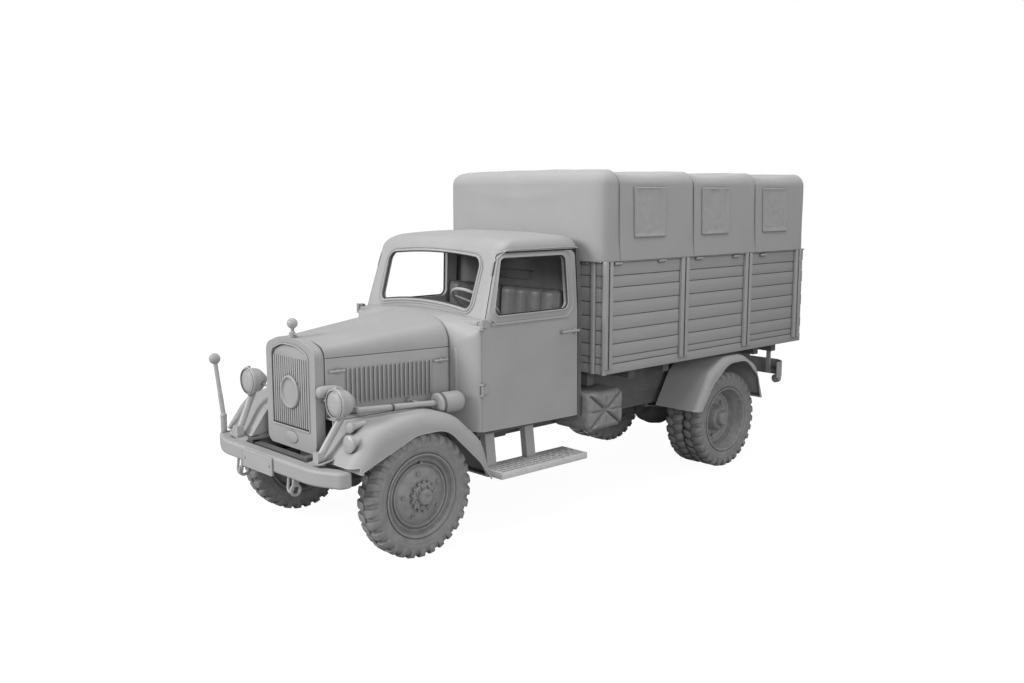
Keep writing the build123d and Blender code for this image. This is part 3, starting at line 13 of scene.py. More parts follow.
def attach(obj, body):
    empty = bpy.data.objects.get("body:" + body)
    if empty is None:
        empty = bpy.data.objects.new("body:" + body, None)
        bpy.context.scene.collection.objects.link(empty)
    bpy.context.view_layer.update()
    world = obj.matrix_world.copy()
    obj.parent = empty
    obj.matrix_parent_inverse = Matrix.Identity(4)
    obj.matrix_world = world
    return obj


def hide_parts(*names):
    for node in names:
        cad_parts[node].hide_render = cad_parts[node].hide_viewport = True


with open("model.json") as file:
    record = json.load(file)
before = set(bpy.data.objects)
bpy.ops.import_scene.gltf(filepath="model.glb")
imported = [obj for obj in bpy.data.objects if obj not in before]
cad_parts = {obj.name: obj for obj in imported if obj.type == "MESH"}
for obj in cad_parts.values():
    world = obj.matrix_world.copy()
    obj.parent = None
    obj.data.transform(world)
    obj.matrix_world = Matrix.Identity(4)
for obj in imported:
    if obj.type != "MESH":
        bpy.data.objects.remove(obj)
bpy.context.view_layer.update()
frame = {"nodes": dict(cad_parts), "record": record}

MIDDLE_Y = 2126.0
TO_TRUCK = Matrix.Scale(0.001, 4) @ Matrix.Translation((0, -MIDDLE_Y, 0))
FLIP = Matrix.Scale(-1, 4, (1, 0, 0))
WHEELBASE = 3800.0
TYRE_R = 474.0

# ---------------------------------------------------------------- shapes


def put(bm, part, *places):
    """Adds a part to a piece once for every place it is given, then lets it go."""
    for place in places or (Matrix(),):
        copy = part.copy()
        bmesh.ops.transform(copy, matrix=place, verts=copy.verts)
        if place.determinant() < 0:
            bmesh.ops.reverse_faces(copy, faces=copy.faces)
        held = bpy.data.meshes.new("part")
        copy.to_mesh(held)
        copy.free()
        bm.from_mesh(held)
        bpy.data.meshes.remove(held)
    part.free()


def shown(name, data):
    """A new object in the scene."""
    made = bpy.data.objects.new(name, data)
    bpy.context.scene.collection.objects.link(made)
    return made


def piece(name, bm, finish, body, stands_for=(), crease=35):
    """Makes the finished object from a piece drawn in millimetres, and rides it on its body."""
    bmesh.ops.transform(bm, matrix=TO_TRUCK, verts=bm.verts)
    mesh = bpy.data.meshes.new(name)
    bm.to_mesh(mesh)
    bm.free()
    mesh.shade_smooth()
    mesh.set_sharp_from_angle(angle=math.radians(crease))
    mesh.materials.append(finish)
    made = shown(name, mesh)
    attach(made, body)
    if stands_for:
        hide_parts(*stands_for)
    return made


def soften(bm, edges, by, steps=2):
    """Rounds edges off by a width, which may be nothing."""
    if by:
        bmesh.ops.bevel(bm, geom=edges, offset=by, offset_type="OFFSET", segments=steps, profile=0.5,
                        affect="EDGES", material=-1, clamp_overlap=True)


def level_edges(bm):
    """The edges whose two ends lie at one height."""
    return [e for e in bm.edges if abs(e.verts[0].co.z - e.verts[1].co.z) < 1e-4]


def bar(low, high, round_by=0.0, steps=2):
    """A straight-sided block between two corners, its edges rounded."""
    bm = bmesh.new()
    bmesh.ops.create_cube(bm, size=1)
    size = Vector(high) - Vector(low)
    middle = (Vector(high) + Vector(low)) / 2
    bmesh.ops.transform(bm, matrix=Matrix.Translation(middle) @ Matrix.Diagonal((*size, 1)), verts=bm.verts)
    soften(bm, bm.edges[:], round_by, steps)
    return bm


def pillar(radius, height, sides=16, round_by=0.0):
    """A round bar along Z from the origin, its two rims rounded."""
    bm = bmesh.new()
    bmesh.ops.create_cone(bm, cap_ends=True, segments=sides, radius1=radius, radius2=radius, depth=height)
    bmesh.ops.translate(bm, vec=(0, 0, height / 2), verts=bm.verts)
    soften(bm, level_edges(bm), round_by)
    return bm


def turned(profile, steps=72):
    """A profile of (along, radius) points turned once round the X axis."""
    bm = bmesh.new()
    points = [bm.verts.new((a, 0, r)) for a, r in profile]
    lines = [bm.edges.new(pair) for pair in zip(points, points[1:])]
    bmesh.ops.spin(bm, geom=points + lines, cent=(0, 0, 0), axis=(1, 0, 0), angle=math.tau,
                   steps=steps, use_merge=True)
    bmesh.ops.remove_doubles(bm, verts=bm.verts, dist=0.01)
    bmesh.ops.recalc_face_normals(bm, faces=bm.faces)
    return bm


def drawn(outline, depth, round_by=0.0, steps=2):
    """A flat outline of (x, y) points drawn up Z, with its rims rounded."""
    bm = bmesh.new()
    face = bm.faces.new([bm.verts.new((x, y, 0)) for x, y in outline])
    top = bmesh.ops.extrude_face_region(bm, geom=[face])["geom"]
    bmesh.ops.translate(bm, vec=(0, 0, depth), verts=[v for v in top if isinstance(v, bmesh.types.BMVert)])
    bmesh.ops.recalc_face_normals(bm, faces=bm.faces)
    soften(bm, level_edges(bm), round_by, steps)
    return bm


def run(points, radius, closed=False, flat=False, sides=2):
    """A round bar bent along a line of points."""
    curve = bpy.data.curves.new("run", "CURVE")
    curve.dimensions = "3D"
    line = curve.splines.new("POLY" if flat else "NURBS")
    line.points.add(len(points) - 1)
    for spot, (x, y, z) in zip(line.points, points):
        spot.co = (x, y, z, 1)
    line.use_cyclic_u = closed
    if not flat:
        line.order_u = 3
        line.use_endpoint_u = not closed
        line.resolution_u = 6
    curve.bevel_depth = radius
    curve.bevel_resolution = sides
    curve.use_fill_caps = True
    holder = bpy.data.objects.new("run", curve)
    mesh = bpy.data.meshes.new_from_object(holder)
    bm = bmesh.new()
    bm.from_mesh(mesh)
    bpy.data.objects.remove(holder)
    bpy.data.curves.remove(curve)
    bpy.data.meshes.remove(mesh)
    bmesh.ops.remove_doubles(bm, verts=bm.verts, dist=0.01)
    bmesh.ops.recalc_face_normals(bm, faces=bm.faces)
    return bm


def rounded(outline, steps=5):
    """A closed outline of (a, b, radius) corners as points along its lines and corner arcs."""
    found = []
    for i, (a, b, radius) in enumerate(outline):
        here = Vector((a, b))
        back = (Vector(outline[i - 1][:2]) - here).normalized()
        ahead = (Vector(outline[(i + 1) % len(outline)][:2]) - here).normalized()
        if radius <= 0:
            found.append(here)
            continue
        half = back.angle(ahead) / 2
        start = here + back * radius / math.tan(half)
        end = here + ahead * radius / math.tan(half)
        centre = here + (back + ahead).normalized() * radius / math.sin(half)
        for step in range(steps + 1):
            spot = start.lerp(end, step / steps)
            found.append(centre + (spot - centre).normalized() * radius)
    return found


def skin(loops, closed=True):
    """Faces between one loop of points and the next, all with the same count."""
    bm = bmesh.new()
    rows = [[bm.verts.new(spot) for spot in loop] for loop in loops]
    for low, high in zip(rows, rows[1:]):
        for i in range(len(low) if closed else len(low) - 1):
            j = (i + 1) % len(low)
            bm.faces.new((low[i], low[j], high[j], high[i]))
    bmesh.ops.remove_doubles(bm, verts=bm.verts, dist=0.01)
    bmesh.ops.recalc_face_normals(bm, faces=bm.faces)
    return bm


def turned_about(axis, degrees):
    """A turn about an axis through the origin."""
    return Matrix.Rotation(math.radians(degrees), 4, axis)


def around(count, start=0.0):
    """Places at even turns round the X axis, the first at a start angle in radians."""
    return [Matrix.Rotation(math.tau * i / count + start, 4, "X") for i in range(count)]


def divided(outline, parts):
    """A closed outline with each of its long straights divided evenly."""
    found = []
    for i, spot in enumerate(outline):
        after = outline[(i + 1) % len(outline)]
        count = parts if (after - spot).length > 300 else 1
        found += [spot.lerp(after, k / count) for k in range(count)]
    return found


def both(bm, part):
    """Adds a part drawn for the truck's left, and its mirror image on the right."""
    put(bm, part, Matrix(), FLIP)


def cut_up(bm, axis, start, end, step):
    """Cuts a piece across an axis at even steps, so that its faces can be pressed into shape."""
    count = max(1, round((end - start) / step))
    for i in range(count + 1):
        spot = start + (end - start) * i / count
        bmesh.ops.bisect_plane(bm, geom=bm.verts[:] + bm.edges[:] + bm.faces[:], dist=0.001,
                               plane_co=[a * spot for a in axis], plane_no=axis)


# ---------------------------------------------------------------- finishes


def linear(colour):
    """An sRGB hex colour as linear red, green, blue and alpha."""
    parts = [int(colour[i:i + 2], 16) / 255 for i in (1, 3, 5)]
    return [p / 12.92 if p <= 0.04045 else ((p + 0.055) / 1.055) ** 2.4 for p in parts] + [1.0]


def add(tree, kind, settings=(), **sockets):
    """A shader node with its settings, and its sockets set to values or linked to other nodes' outputs."""
    made = tree.nodes.new("ShaderNode" + kind)
    for name, value in dict(settings).items():
        setattr(made, name, value)
    for name, value in sockets.items():
        place = made.inputs[int(name[1:]) if name[0] == "_" else name.replace("_", " ")]
        if isinstance(value, bpy.types.NodeSocket):
            tree.links.new(value, place)
        else:
            place.default_value = value
    return made


def blank(name):
    """A new material with its tree emptied."""
    made = bpy.data.materials.new(name)
    made.use_nodes = True
    made.node_tree.nodes.clear()
    return made, made.node_tree


def two_tone(tree, share, main, shade):
    """One colour fading into another by a share between 0 and 1."""
    tone = add(tree, "Mix", {"data_type": "RGBA"}, Factor=share)
    tone.inputs[6].default_value = linear(main)
    tone.inputs[7].default_value = linear(shade)
    return tone.outputs[2]


def laid_over(tree, share, under, top):
    """A plain colour laid over a colour that the tree has made, by a share between 0 and 1."""
    mixed = add(tree, "Mix", {"data_type": "RGBA"}, Factor=share)
    tree.links.new(under, mixed.inputs[6])
    mixed.inputs[7].default_value = linear(top)
    return mixed.outputs[2]


def shade_in_corners(tree, under, corner_shade, reach):
    """Painted shade: a dark colour laid into the corners that lie within a reach in metres. Gives the colour
    and the openness.
    """
    hollow = add(tree, "AmbientOcclusion", {"samples": 4}, Distance=reach).outputs["AO"]
    shade_share = add(tree, "MapRange", Value=hollow, From_Min=0.3, From_Max=0.94, To_Min=1.0, To_Max=0.0)
    return laid_over(tree, shade_share.outputs[0], under, corner_shade), hollow


def mottled(name, main, shade, rough, patch_mm, grain_mm, grain_deep_mm, corner_shade="#3a3a3a", shade_reach_mm=26.0,
            edge="#d2d2d2", highlight_mm=7.0):
    """A sprayed or cast finish: two tones in soft patches, fine grain, painted shade in the corners and
    painted highlights along open edges.
    """
    made, tree = blank(name)
    where = add(tree, "TexCoord").outputs["Object"]
    patches = add(tree, "TexNoise", Vector=where, Scale=1000 / patch_mm, Detail=4.0, Roughness=0.6)
    spread_out = add(tree, "MapRange", Value=patches.outputs[0], From_Min=0.35, From_Max=0.65)
    tone = two_tone(tree, spread_out.outputs[0], main, shade)
    colour, hollow = shade_in_corners(tree, tone, corner_shade, shade_reach_mm / 1000)
    # painted highlight: the edge colour goes on open, rounded edges, found where the softened normal turns
    # from the true one
    true = add(tree, "NewGeometry").outputs["Normal"]
    eased = add(tree, "Bevel", {"samples": 4}, Radius=highlight_mm / 1000)
    turn = add(tree, "VectorMath", {"operation": "DOT_PRODUCT"}, _0=eased.outputs[0], _1=true)
    edge_highlight = add(tree, "MapRange", Value=turn.outputs["Value"], From_Min=0.80, From_Max=0.985, To_Min=0.8,
              To_Max=0.0)
    open_edge_highlight = add(tree, "Math", {"operation": "MULTIPLY"}, _0=edge_highlight.outputs[0], _1=hollow)
    # painted highlight: the edge colour laid over the open edges
    worn = laid_over(tree, open_edge_highlight.outputs[0], colour, edge)
    grain = add(tree, "TexNoise", Vector=where, Scale=1000 / grain_mm, Detail=3.0)
    gloss = add(tree, "MapRange", Value=patches.outputs[0], To_Min=rough - 0.06, To_Max=rough + 0.06)
    bump = add(tree, "Bump", Strength=0.35, Distance=grain_deep_mm / 1000, Height=grain.outputs[0])
    shader = add(tree, "BsdfPrincipled", Base_Color=worn, Roughness=gloss.outputs[0], Normal=bump.outputs[0])
    add(tree, "OutputMaterial", Surface=shader.outputs[0])
    return made


# matt primer sprayed on pressed steel: even, with soft cloudy patches and a fine dry tooth
primer = mottled("matt_primer_on_pressed_steel", "#a9a9a9", "#a3a3a3", 0.52, 420, 2.5, 0.05)
# brushed chassis paint over forged and rolled steel: a shade darker and rougher, its painted shade darker and
# reaching further into corners
chassis_paint = mottled("brushed_chassis_paint", "#6a6a6a", "#606060", 0.62, 160, 6.0, 0.25, "#3c3c3c", 60.0,
                        "#8c8c8c")
# cast iron under paint: the sand of the mould shows as a coarse tooth
cast_paint = mottled("painted_sand_casting", "#b2b2b2", "#a6a6a6", 0.58, 60, 4.0, 0.5, "#7a7a7a", 14.0)
# wheel enamel: the same shade, duller, with painted shade round every bolt and groove
wheel_paint = mottled("wheel_enamel_with_painted_shade", "#949494", "#828282", 0.55, 70, 4.0, 0.3, "#303030", 22.0,
                      "#b4b4b4")
# the same paint made paler on the step plates: painted light for their lit tops
step_paint_painted_lighter = mottled("step_paint_with_painted_light", "#d6d6d6", "#cacaca", 0.62, 60, 4.0, 0.5, "#9c9c9c", 14.0)
# satin enamel on spun lamp bodies and turned knobs: a little smoother than the panels
enamel = mottled("satin_enamel_on_spun_steel", "#b0b0b0", "#aaaaaa", 0.38, 200, 2.0, 0.02)
# tyre rubber gone matt with road dust
rubber = mottled("dusty_tyre_rubber", "#909090", "#828282", 0.82, 90, 5.0, 0.5, "#444444", 26.0, "#a8a8a8")


def planks(name):
    """Sawn softwood under one coat of matt paint: long grain runs along each board."""
    made, tree = blank(name)
    where = add(tree, "TexCoord").outputs["Object"]
    drawn_out = add(tree, "Mapping", Vector=where, Scale=(1.0, 0.06, 1.0))
    grain = add(tree, "TexNoise", Vector=drawn_out.outputs[0], Scale=90.0, Detail=5.0, Roughness=0.65)
    tone = two_tone(tree, grain.outputs[0], "#a6a6a6", "#999999")
    # painted shade in the gaps between the boards
    colour = shade_in_corners(tree, tone, "#3e3e3e", 0.02)[0]
    bump = add(tree, "Bump", Strength=0.5, Distance=0.0012, Height=grain.outputs[0])
    shader = add(tree, "BsdfPrincipled", Base_Color=colour, Roughness=0.68, Normal=bump.outputs[0])
    add(tree, "OutputMaterial", Surface=shader.outputs[0])
    return made


def woven(name, main, shade, thread_mm):
    """Woven canvas: threads both ways, drawn coarser than real duck so that they show, and slow staining."""
    made, tree = blank(name)
    where = add(tree, "TexCoord").outputs["Object"]
    across = add(tree, "TexWave", {"bands_direction": "Z"}, Vector=where, Scale=1000 / thread_mm / 20)
    along = add(tree, "TexWave", {"bands_direction": "Y"}, Vector=where, Scale=1000 / thread_mm / 20)
    threads = add(tree, "Math", {"operation": "MAXIMUM"}, _0=across.outputs["Fac"], _1=along.outputs["Fac"])
    stain = add(tree, "TexNoise", Vector=where, Scale=3.0, Detail=6.0, Roughness=0.7)
    tone = two_tone(tree, stain.outputs[0], main, shade)
    # painted shade in the folds and corners of the cloth
    colour = shade_in_corners(tree, tone, "#454545", 0.04)[0]
    bump = add(tree, "Bump", Strength=0.18, Distance=0.0006, Height=threads.outputs[0])
    shader = add(tree, "BsdfPrincipled", Base_Color=colour, Roughness=0.85, Normal=bump.outputs[0])
    shader.inputs["Sheen Weight"].default_value = 0.15
    add(tree, "OutputMaterial", Surface=shader.outputs[0])
    return made


timber = planks("painted_sawn_softwood")
# heavy cotton duck, proofed: soft, nearly matt, with a faint sheen
canvas = woven("proofed_cotton_duck", "#a8a8a8", "#9f9f9f", 4.0)
# pigmented upholstery leather: soft gloss over a fine pebbled grain, its colour darkened as painted shade
# inside the cab
leather = mottled("pebbled_upholstery_leather", "#707070", "#646464", 0.42, 120, 7.0, 0.6)
# moulded rubber round the window openings: dark and even, its dark tone also painted shade in the gap round
# each opening
seal_rubber_with_painted_shade = mottled("window_rubber_with_painted_shade", "#343434", "#2c2c2c", 0.6, 80, 4.0, 0.2, "#202020", 10.0, "#484848")

FINISH = {"paint": primer, "chassis_paint": chassis_paint, "tyre": rubber, "canvas": canvas, "planks": timber,
          "leather": leather, "bright": enamel}
slot_of = {row["node"]: row["material_slot"] for row in frame["record"]["subparts"]}
# the nodes inside the cab and under the bed get the darker chassis paint as painted shade
NODES_IN_PAINTED_SHADE = ("cab_back", "cab_floor", "bed_bearers")
for name, node_object in frame["nodes"].items():
    node_object.data.materials.clear()
    node_object.data.materials.append(chassis_paint if name in NODES_IN_PAINTED_SHADE else FINISH[slot_of[name]])

# ---------------------------------------------------------------- wheels

LUGS = 30
FRONT_WHEEL_X, REAR_OUTER_X, REAR_INNER_X = 826.0, 840.5, 630.5


def tyre(places):
    """A cross-country tyre: carcass, beaded sidewalls and deep, blunt, worn shoulder lugs."""
    # across the tread from its middle, down the shoulder and the sidewall to the bead
    half = [(0, 456), (66, 453), (82, 444), (92, 424), (96, 402), (99, 384), (98, 376), (93, 366), (94, 356),
            (92, 344), (86, 332), (84, 326), (79, 322), (76, 318), (76, 300)]
    section = [(-a, r) for a, r in reversed(half[1:])] + half + [(-76, 300)]
    bm = bmesh.new()
    put(bm, turned(section, 120))
    # a shoulder lug seen from the front, from the tread's middle out and down to the sidewall
    side_on = [(4, 448), (7, 469), (30, 474), (62, 473), (85, 465), (98, 447), (102, 421), (100, 400),
               (92, 392), (84, 430), (60, 448)]
    lug = drawn(side_on, 62, 9, 3)
    stand = turned_about("X", 90)
    for flip in (1, -1):
        shaped = lug.copy()
        bmesh.ops.transform(shaped, matrix=Matrix.Translation((0, 31, 0)) @ stand, verts=shaped.verts)
        for v in shaped.verts:
            v.co.y *= 1.0 - 0.28 * max(0.0, (v.co.x - 60) / 40)
            v.co.y += (v.co.x - 50) * 0.22
        if flip < 0:
            bmesh.ops.transform(shaped, matrix=FLIP, verts=shaped.verts)
            bmesh.ops.reverse_faces(shaped, faces=shaped.faces)
        put(bm, shaped, *around(LUGS, math.tau / LUGS / 2 if flip < 0 else 0.0))
    lug.free()
    for v in bm.verts:
        out = Vector((0, v.co.y, v.co.z))
        if out.length > 390:
            worn = noise.noise(v.co / 34) * 4 + noise.noise(v.co / 13) * 1.6
            v.co -= out.normalized() * max(0.0, worn + 1.5)
            chipped = max(0.0, noise.noise(v.co / 27 + Vector((9, 0, 0))) * 5)
            v.co.x -= math.copysign(chipped, v.co.x)
    whole = bmesh.new()
    put(whole, bm, *places)
    return whole


def at(x, y, flip=False):
    """A place on an axle, mirrored to face the truck's right if asked."""
    return Matrix.Translation((x, y, TYRE_R)) @ (FLIP if flip else Matrix())


def bolts(bm, radius, x, count, size, proud, start=0.0):
    """A ring of hexagon bolts round the X axis."""
    head = pillar(size, proud, 6, round_by=size * 0.15)
    lie = Matrix.Translation((x, 0, radius)) @ turned_about("Y", 90)
    put(bm, head, *[place @ lie for place in around(count, start)])


# the inner flange of a rim, the seat of the tyre behind it and the outer flange again
RIM_SEAT = [(-84, 301), (-87, 311), (-83, 318), (-76, 318), (-76, 299.5), (76, 299.5), (76, 318), (83, 318)]


def front_rim():
    """A pressed disc with rolled rings, a domed middle, a toothed hub flange and a stepped cap."""
    bm = turned([(83, 318), (87, 312), (85, 304), (74, 298), (58, 294), (50, 289), (47, 281), (49, 273),
                 (56, 269), (58, 263), (52, 257), (44, 252), (44, 246), (50, 242), (57, 239), (58, 233),
                 (52, 228), (46, 222), (48, 214), (58, 198), (69, 174), (77, 148), (81, 126), (83, 108),
                 (92, 102), (104, 100), (108, 94), (108, 66), (118, 62), (134, 58), (141, 50), (142, 26),
                 (138, 20), (138, 0), (118, 0), (118, 35.4), (-2, 35.4), (-2, 110), (24, 118), (24, 150),
                 (28, 200), (26, 240), (26, 282), (-60, 284), (-72, 291)] + RIM_SEAT, 120)
    tooth = bar((84, -9, 96), (108, 9, 116), 4, 2)
    put(bm, tooth, *around(14))
    bolts(bm, 80, 107, 8, 10, 12, 0.3)
    for turn in (0.2, 1.5, 2.6, 4.1, 5.2):
        put(bm, pillar(11, 16, 12, round_by=3), Matrix.Rotation(turn, 4, "X")
            @ Matrix.Translation((66, 0, 170)) @ turned_about("Y", 80))
    valve = pillar(9, 26, 10, round_by=2)
    put(bm, valve, Matrix.Translation((50, 0, 246)) @ turned_about("Y", 80))
    return bm


def rear_rim():
    """The outer of a twin pair: deep dish, bolted web and a long hub with a bolted cap."""
    bm = turned([(83, 318), (87, 311), (84, 301), (70, 294), (52, 291), (44, 285), (30, 283), (22, 277),
                 (6, 274), (0, 268), (-16, 265), (-30, 262), (-60, 256), (-74, 244), (-78, 230), (-78, 150),
                 (-72, 130), (-50, 120), (14, 114), (24, 106), (26, 72), (40, 66), (62, 62), (70, 52),
                 (70, 0), (40, 0), (40, 50.4), (-102, 50.4), (-102, 120), (-70, 240), (-64, 270), (-60, 284),
                 (-72, 291)] + RIM_SEAT, 96)
    bolts(bm, 186, -80, 8, 16, 18)
    bolts(bm, 90, 24, 10, 8, 9)
    return bm


for side, word in ((1, "left"), (-1, "right")):
    flip = side < 0
    front = at(side * FRONT_WHEEL_X, 0, flip)
    front_body, rear_body = "front_wheel_" + word, "rear_wheels_" + word
    piece("front_tyre_tread_" + word, tyre([front]), rubber, front_body, ["front_tyre_" + word])
    hub = bmesh.new()
    put(hub, front_rim(), front)
    piece("front_wheel_disc_" + word, hub, wheel_paint, front_body, ["front_rim_" + word])
    pair = [at(side * x, WHEELBASE, flip) for x in (REAR_OUTER_X, REAR_INNER_X)]
    piece("rear_tyre_treads_" + word, tyre(pair), rubber, rear_body, ["rear_tyres_" + word])
    hub = bmesh.new()
    put(hub, rear_rim(), pair[0])
    inner = turned([(83, 318), (87, 311), (84, 301), (70, 294), (66, 286), (66, 240), (90, 180), (100, 60),
                    (100, 50.4), (88, 50.4), (78, 120), (52, 240), (46, 282), (-60, 286),
                    (-72, 293)] + RIM_SEAT)
    put(hub, inner, pair[1])
    drum = turned([(-45, 50.4), (-45, 172), (-37, 180), (64, 180), (72, 172), (72, 150), (72, 50.4),
                   (-45, 50.4)])
    put(hub, drum, pair[1])
    piece("rear_wheel_discs_" + word, hub, wheel_paint, rear_body, ["rear_rims_" + word])

# ---------------------------------------------------------------- bed

BED_Y, BED_REAR, BED_HALF, BED_TOP = 1890.0, 5025.0, 998.0, 2120.0
WALL_X = 978.0
BOARD_Z = (1150.0, 1236.0, 1297.0, 1408.0, 1530.0, 1648.0, 1772.0, 1894.0, 1996.0, BED_TOP)
BOARD_GAP = 2.2


def boards(bm, start, end, face, low, high, turn=0):
    """Planks one over another with their edges rubbed round, every other one standing proud."""
    for i, (under, over) in enumerate(zip(BOARD_Z, BOARD_Z[1:])):
        under, over = max(under, low), min(over, high)
        if over - under < 8:
            continue
        out = face - 2 if i % 2 == 0 else face - 6
        plank = bar((face - 34, start, under + BOARD_GAP), (out, end, over - BOARD_GAP), 3.2, 2)
        put(bm, plank, turned_about("Z", turn))
    foot, head = max(low, BOARD_Z[0]) + 4, min(high, BOARD_Z[-1]) - 4
    put(bm, bar((face - 30, start + 4, foot), (face - 16, end - 4, head)), turned_about("Z", turn))


side = bmesh.new()
boards(side, 1946, BED_REAR, WALL_X, 1150, BED_TOP)
walls = bmesh.new()
both(walls, side)
piece("bed_side_planks", walls, timber, "chassis", ["bed_sides"])

front = bmesh.new()
boards(front, -970, 970, -1910, 1150, BED_TOP, -90)
piece("bed_front_planks", front, timber, "chassis", ["bed_front"])

gate = bmesh.new()
boards(gate, -938, 938, BED_REAR, 1180, 2114, 90)
piece("tailgate_planks", gate, timber, "tailgate", ["tailgate"])


def ribbed_post(bm, start, end, face, foot, top):
    """A pressed post: a backing strip with two rounded ribs and a groove between them."""
    middle = (start + end) / 2
    put(bm, bar((face - 14, start, foot), (face + 8, end, top), 5))
    for low, high in ((start + 2, middle - 9), (middle + 9, end - 2)):
        if high - low > 14:
            put(bm, bar((face - 10, low, foot + 6), (face + 25, high, top), 8, 3))


posts = bmesh.new()
half = bmesh.new()
for start, end in ((1895, 2000), (2937, 3053), (3932, 4078), (4832, 4983)):
    if end - start > 130:
        middle = (start + end) / 2
        start, end = middle - 58, middle + 58
    ribbed_post(half, start, end, WALL_X, 1192, 2119)
# cleats under the edge of the canvas
for y, z in ((2069, 2098), (2663, 2100), (3207, 2097), (3798, 2092), (4263, 2086)):
    put(half, bar((966, y - 52, z - 13), (1004, y + 52, z + 13), 12, 3))
for z in (1250, 1760, 2060):
    for y in (1948, 2995, 4005, 4908):
        put(half, pillar(7, 10, 8, round_by=2), Matrix.Translation((982, y, z)) @ turned_about("Y", 90))
# uprights, the ends of two cross straps and a hook on the front wall
put(half, bar((838, 1888, 1150), (880, 1926, 2119), 8, 3))
put(half, bar((966, 1892, 1150), (990, 1940, 2119), 6))
put(half, bar((400, 1896, 1150), (440, 1916, 2119), 6))
put(half, bar((720, 1892, 2086), (800, 1912, 2112), 10, 3))
# the rails that the canvas is laced down to, along the boards' tops
put(half, bar((950, 1902, 2110), (993, 5020, 2122), 2))
put(posts, bar((-960, 1877, 2110), (960, 1906, 2122), 2))
both(posts, half)
piece("bed_posts_and_cleats", posts, primer, "chassis")

gate_iron = bmesh.new()
for x in (-600, 0, 600):
    put(gate_iron, bar((x - 30, 5016, 1220), (x + 30, 5032, 2113), 5))
    for z in (1260, 1450, 1700, 1950, 2060):
        put(gate_iron, pillar(8, 8, 8, round_by=2), Matrix.Translation((x, 5030, z)) @ turned_about("X", -90))
    hinge = pillar(14, 120, 20, round_by=1.5)
    put(gate_iron, hinge, Matrix.Translation((x - 60, 5040, 1178)) @ turned_about("Y", 90))
    put(gate_iron, bar((x - 30, 5021, 1174), (x + 30, 5046, 1240), 3))
piece("tailgate_ironwork", gate_iron, primer, "tailgate")

# ---------------------------------------------------------------- hood sides

HOOD_FRONT, HOOD_BACK = -455.0, 595.0
HOOD_HANDLE_Z = 1385.0
LOUVRES = 20


def hood_x(y):
    """How far out the hood's side stands at a station along the truck."""
    return 352 + (y - HOOD_FRONT) / (HOOD_BACK - HOOD_FRONT) * 153


panels = bmesh.new()
half = drawn([(hood_x(HOOD_FRONT), HOOD_FRONT), (hood_x(HOOD_BACK), HOOD_BACK),
              (hood_x(HOOD_BACK) - 18, HOOD_BACK), (hood_x(HOOD_FRONT) - 18, HOOD_FRONT)], 437.5, 3)
bmesh.ops.translate(half, vec=(0, 0, 1045), verts=half.verts)
for i in range(LOUVRES):
    y = -277 + i * 707 / (LOUVRES - 1)
    rib = bar((-9, -11, 1125), (17, 11, 1395), 5, 3)
    for v in rib.verts:
        if v.co.x > 2:
            v.co.x -= (v.co.y + 11) / 22 * 11
    put(half, rib, Matrix.Translation((hood_x(y), y, 0)) @ turned_about("Z", -8.3))
for y in (-425, 455):
    handle = [(hood_x(y + along) + out, y + along, HOOD_HANDLE_Z + up)
              for along, out, up in ((-8, 24, 0), (40, 26, 1), (70, 22, 0), (118, 20, 1))]
    put(half, run(handle, 9))
    foot = Matrix.Translation((hood_x(y + 60) - 2, y + 60, HOOD_HANDLE_Z))
    put(half, pillar(15, 24, 16, round_by=4), foot @ turned_about("Y", 90))
both(panels, half)
piece("hood_side_panels", panels, primer, "chassis", ["hood_sides"])

# ---------------------------------------------------------------- cab trim

HINGE_HIGH, HINGE_LOW = 1688.0, 1165.0
CAB_HALF, WAIST_Z = 820.0, 1700.0
SCREEN_FOOT_Y, SCREEN_RAKE = 720.0, 0.304


def screen_y(z):
    """Where the raked front of the cab stands at a height."""
    return SCREEN_FOOT_Y + (z - WAIST_Z) * SCREEN_RAKE


def cab_x(z):
    """How far out the cab's side stands at a height: it leans in above the waist."""
    return CAB_HALF - 34 * max(0.0, z - WAIST_Z) / 522


def hull_x(y, z, radius=80.0):
    """How far out the cab's side stands at a station, rounding into the screen in front."""
    behind = y - screen_y(z)
    if behind >= radius:
        return cab_x(z)
    return cab_x(z) - radius + math.sqrt(max(0.0, radius ** 2 - (radius - max(behind, 1.0)) ** 2))


def window_edge(grow=0.0):
    """The door window's edge in side view, grown outwards by a margin."""
    sill, head = 1735 - grow, 2184 + min(grow, 34)
    front = max(grow * 0.72, grow - 20)
    return rounded([(screen_y(sill) + 70 - front, sill, 50 + grow * 0.6),
                    (screen_y(head) + 38 - front * 0.4, head, 40 + grow * 0.5),
                    (1624 + grow, head, 55 + grow * 0.4), (1636 + grow, sill, 60 + grow)], 9)


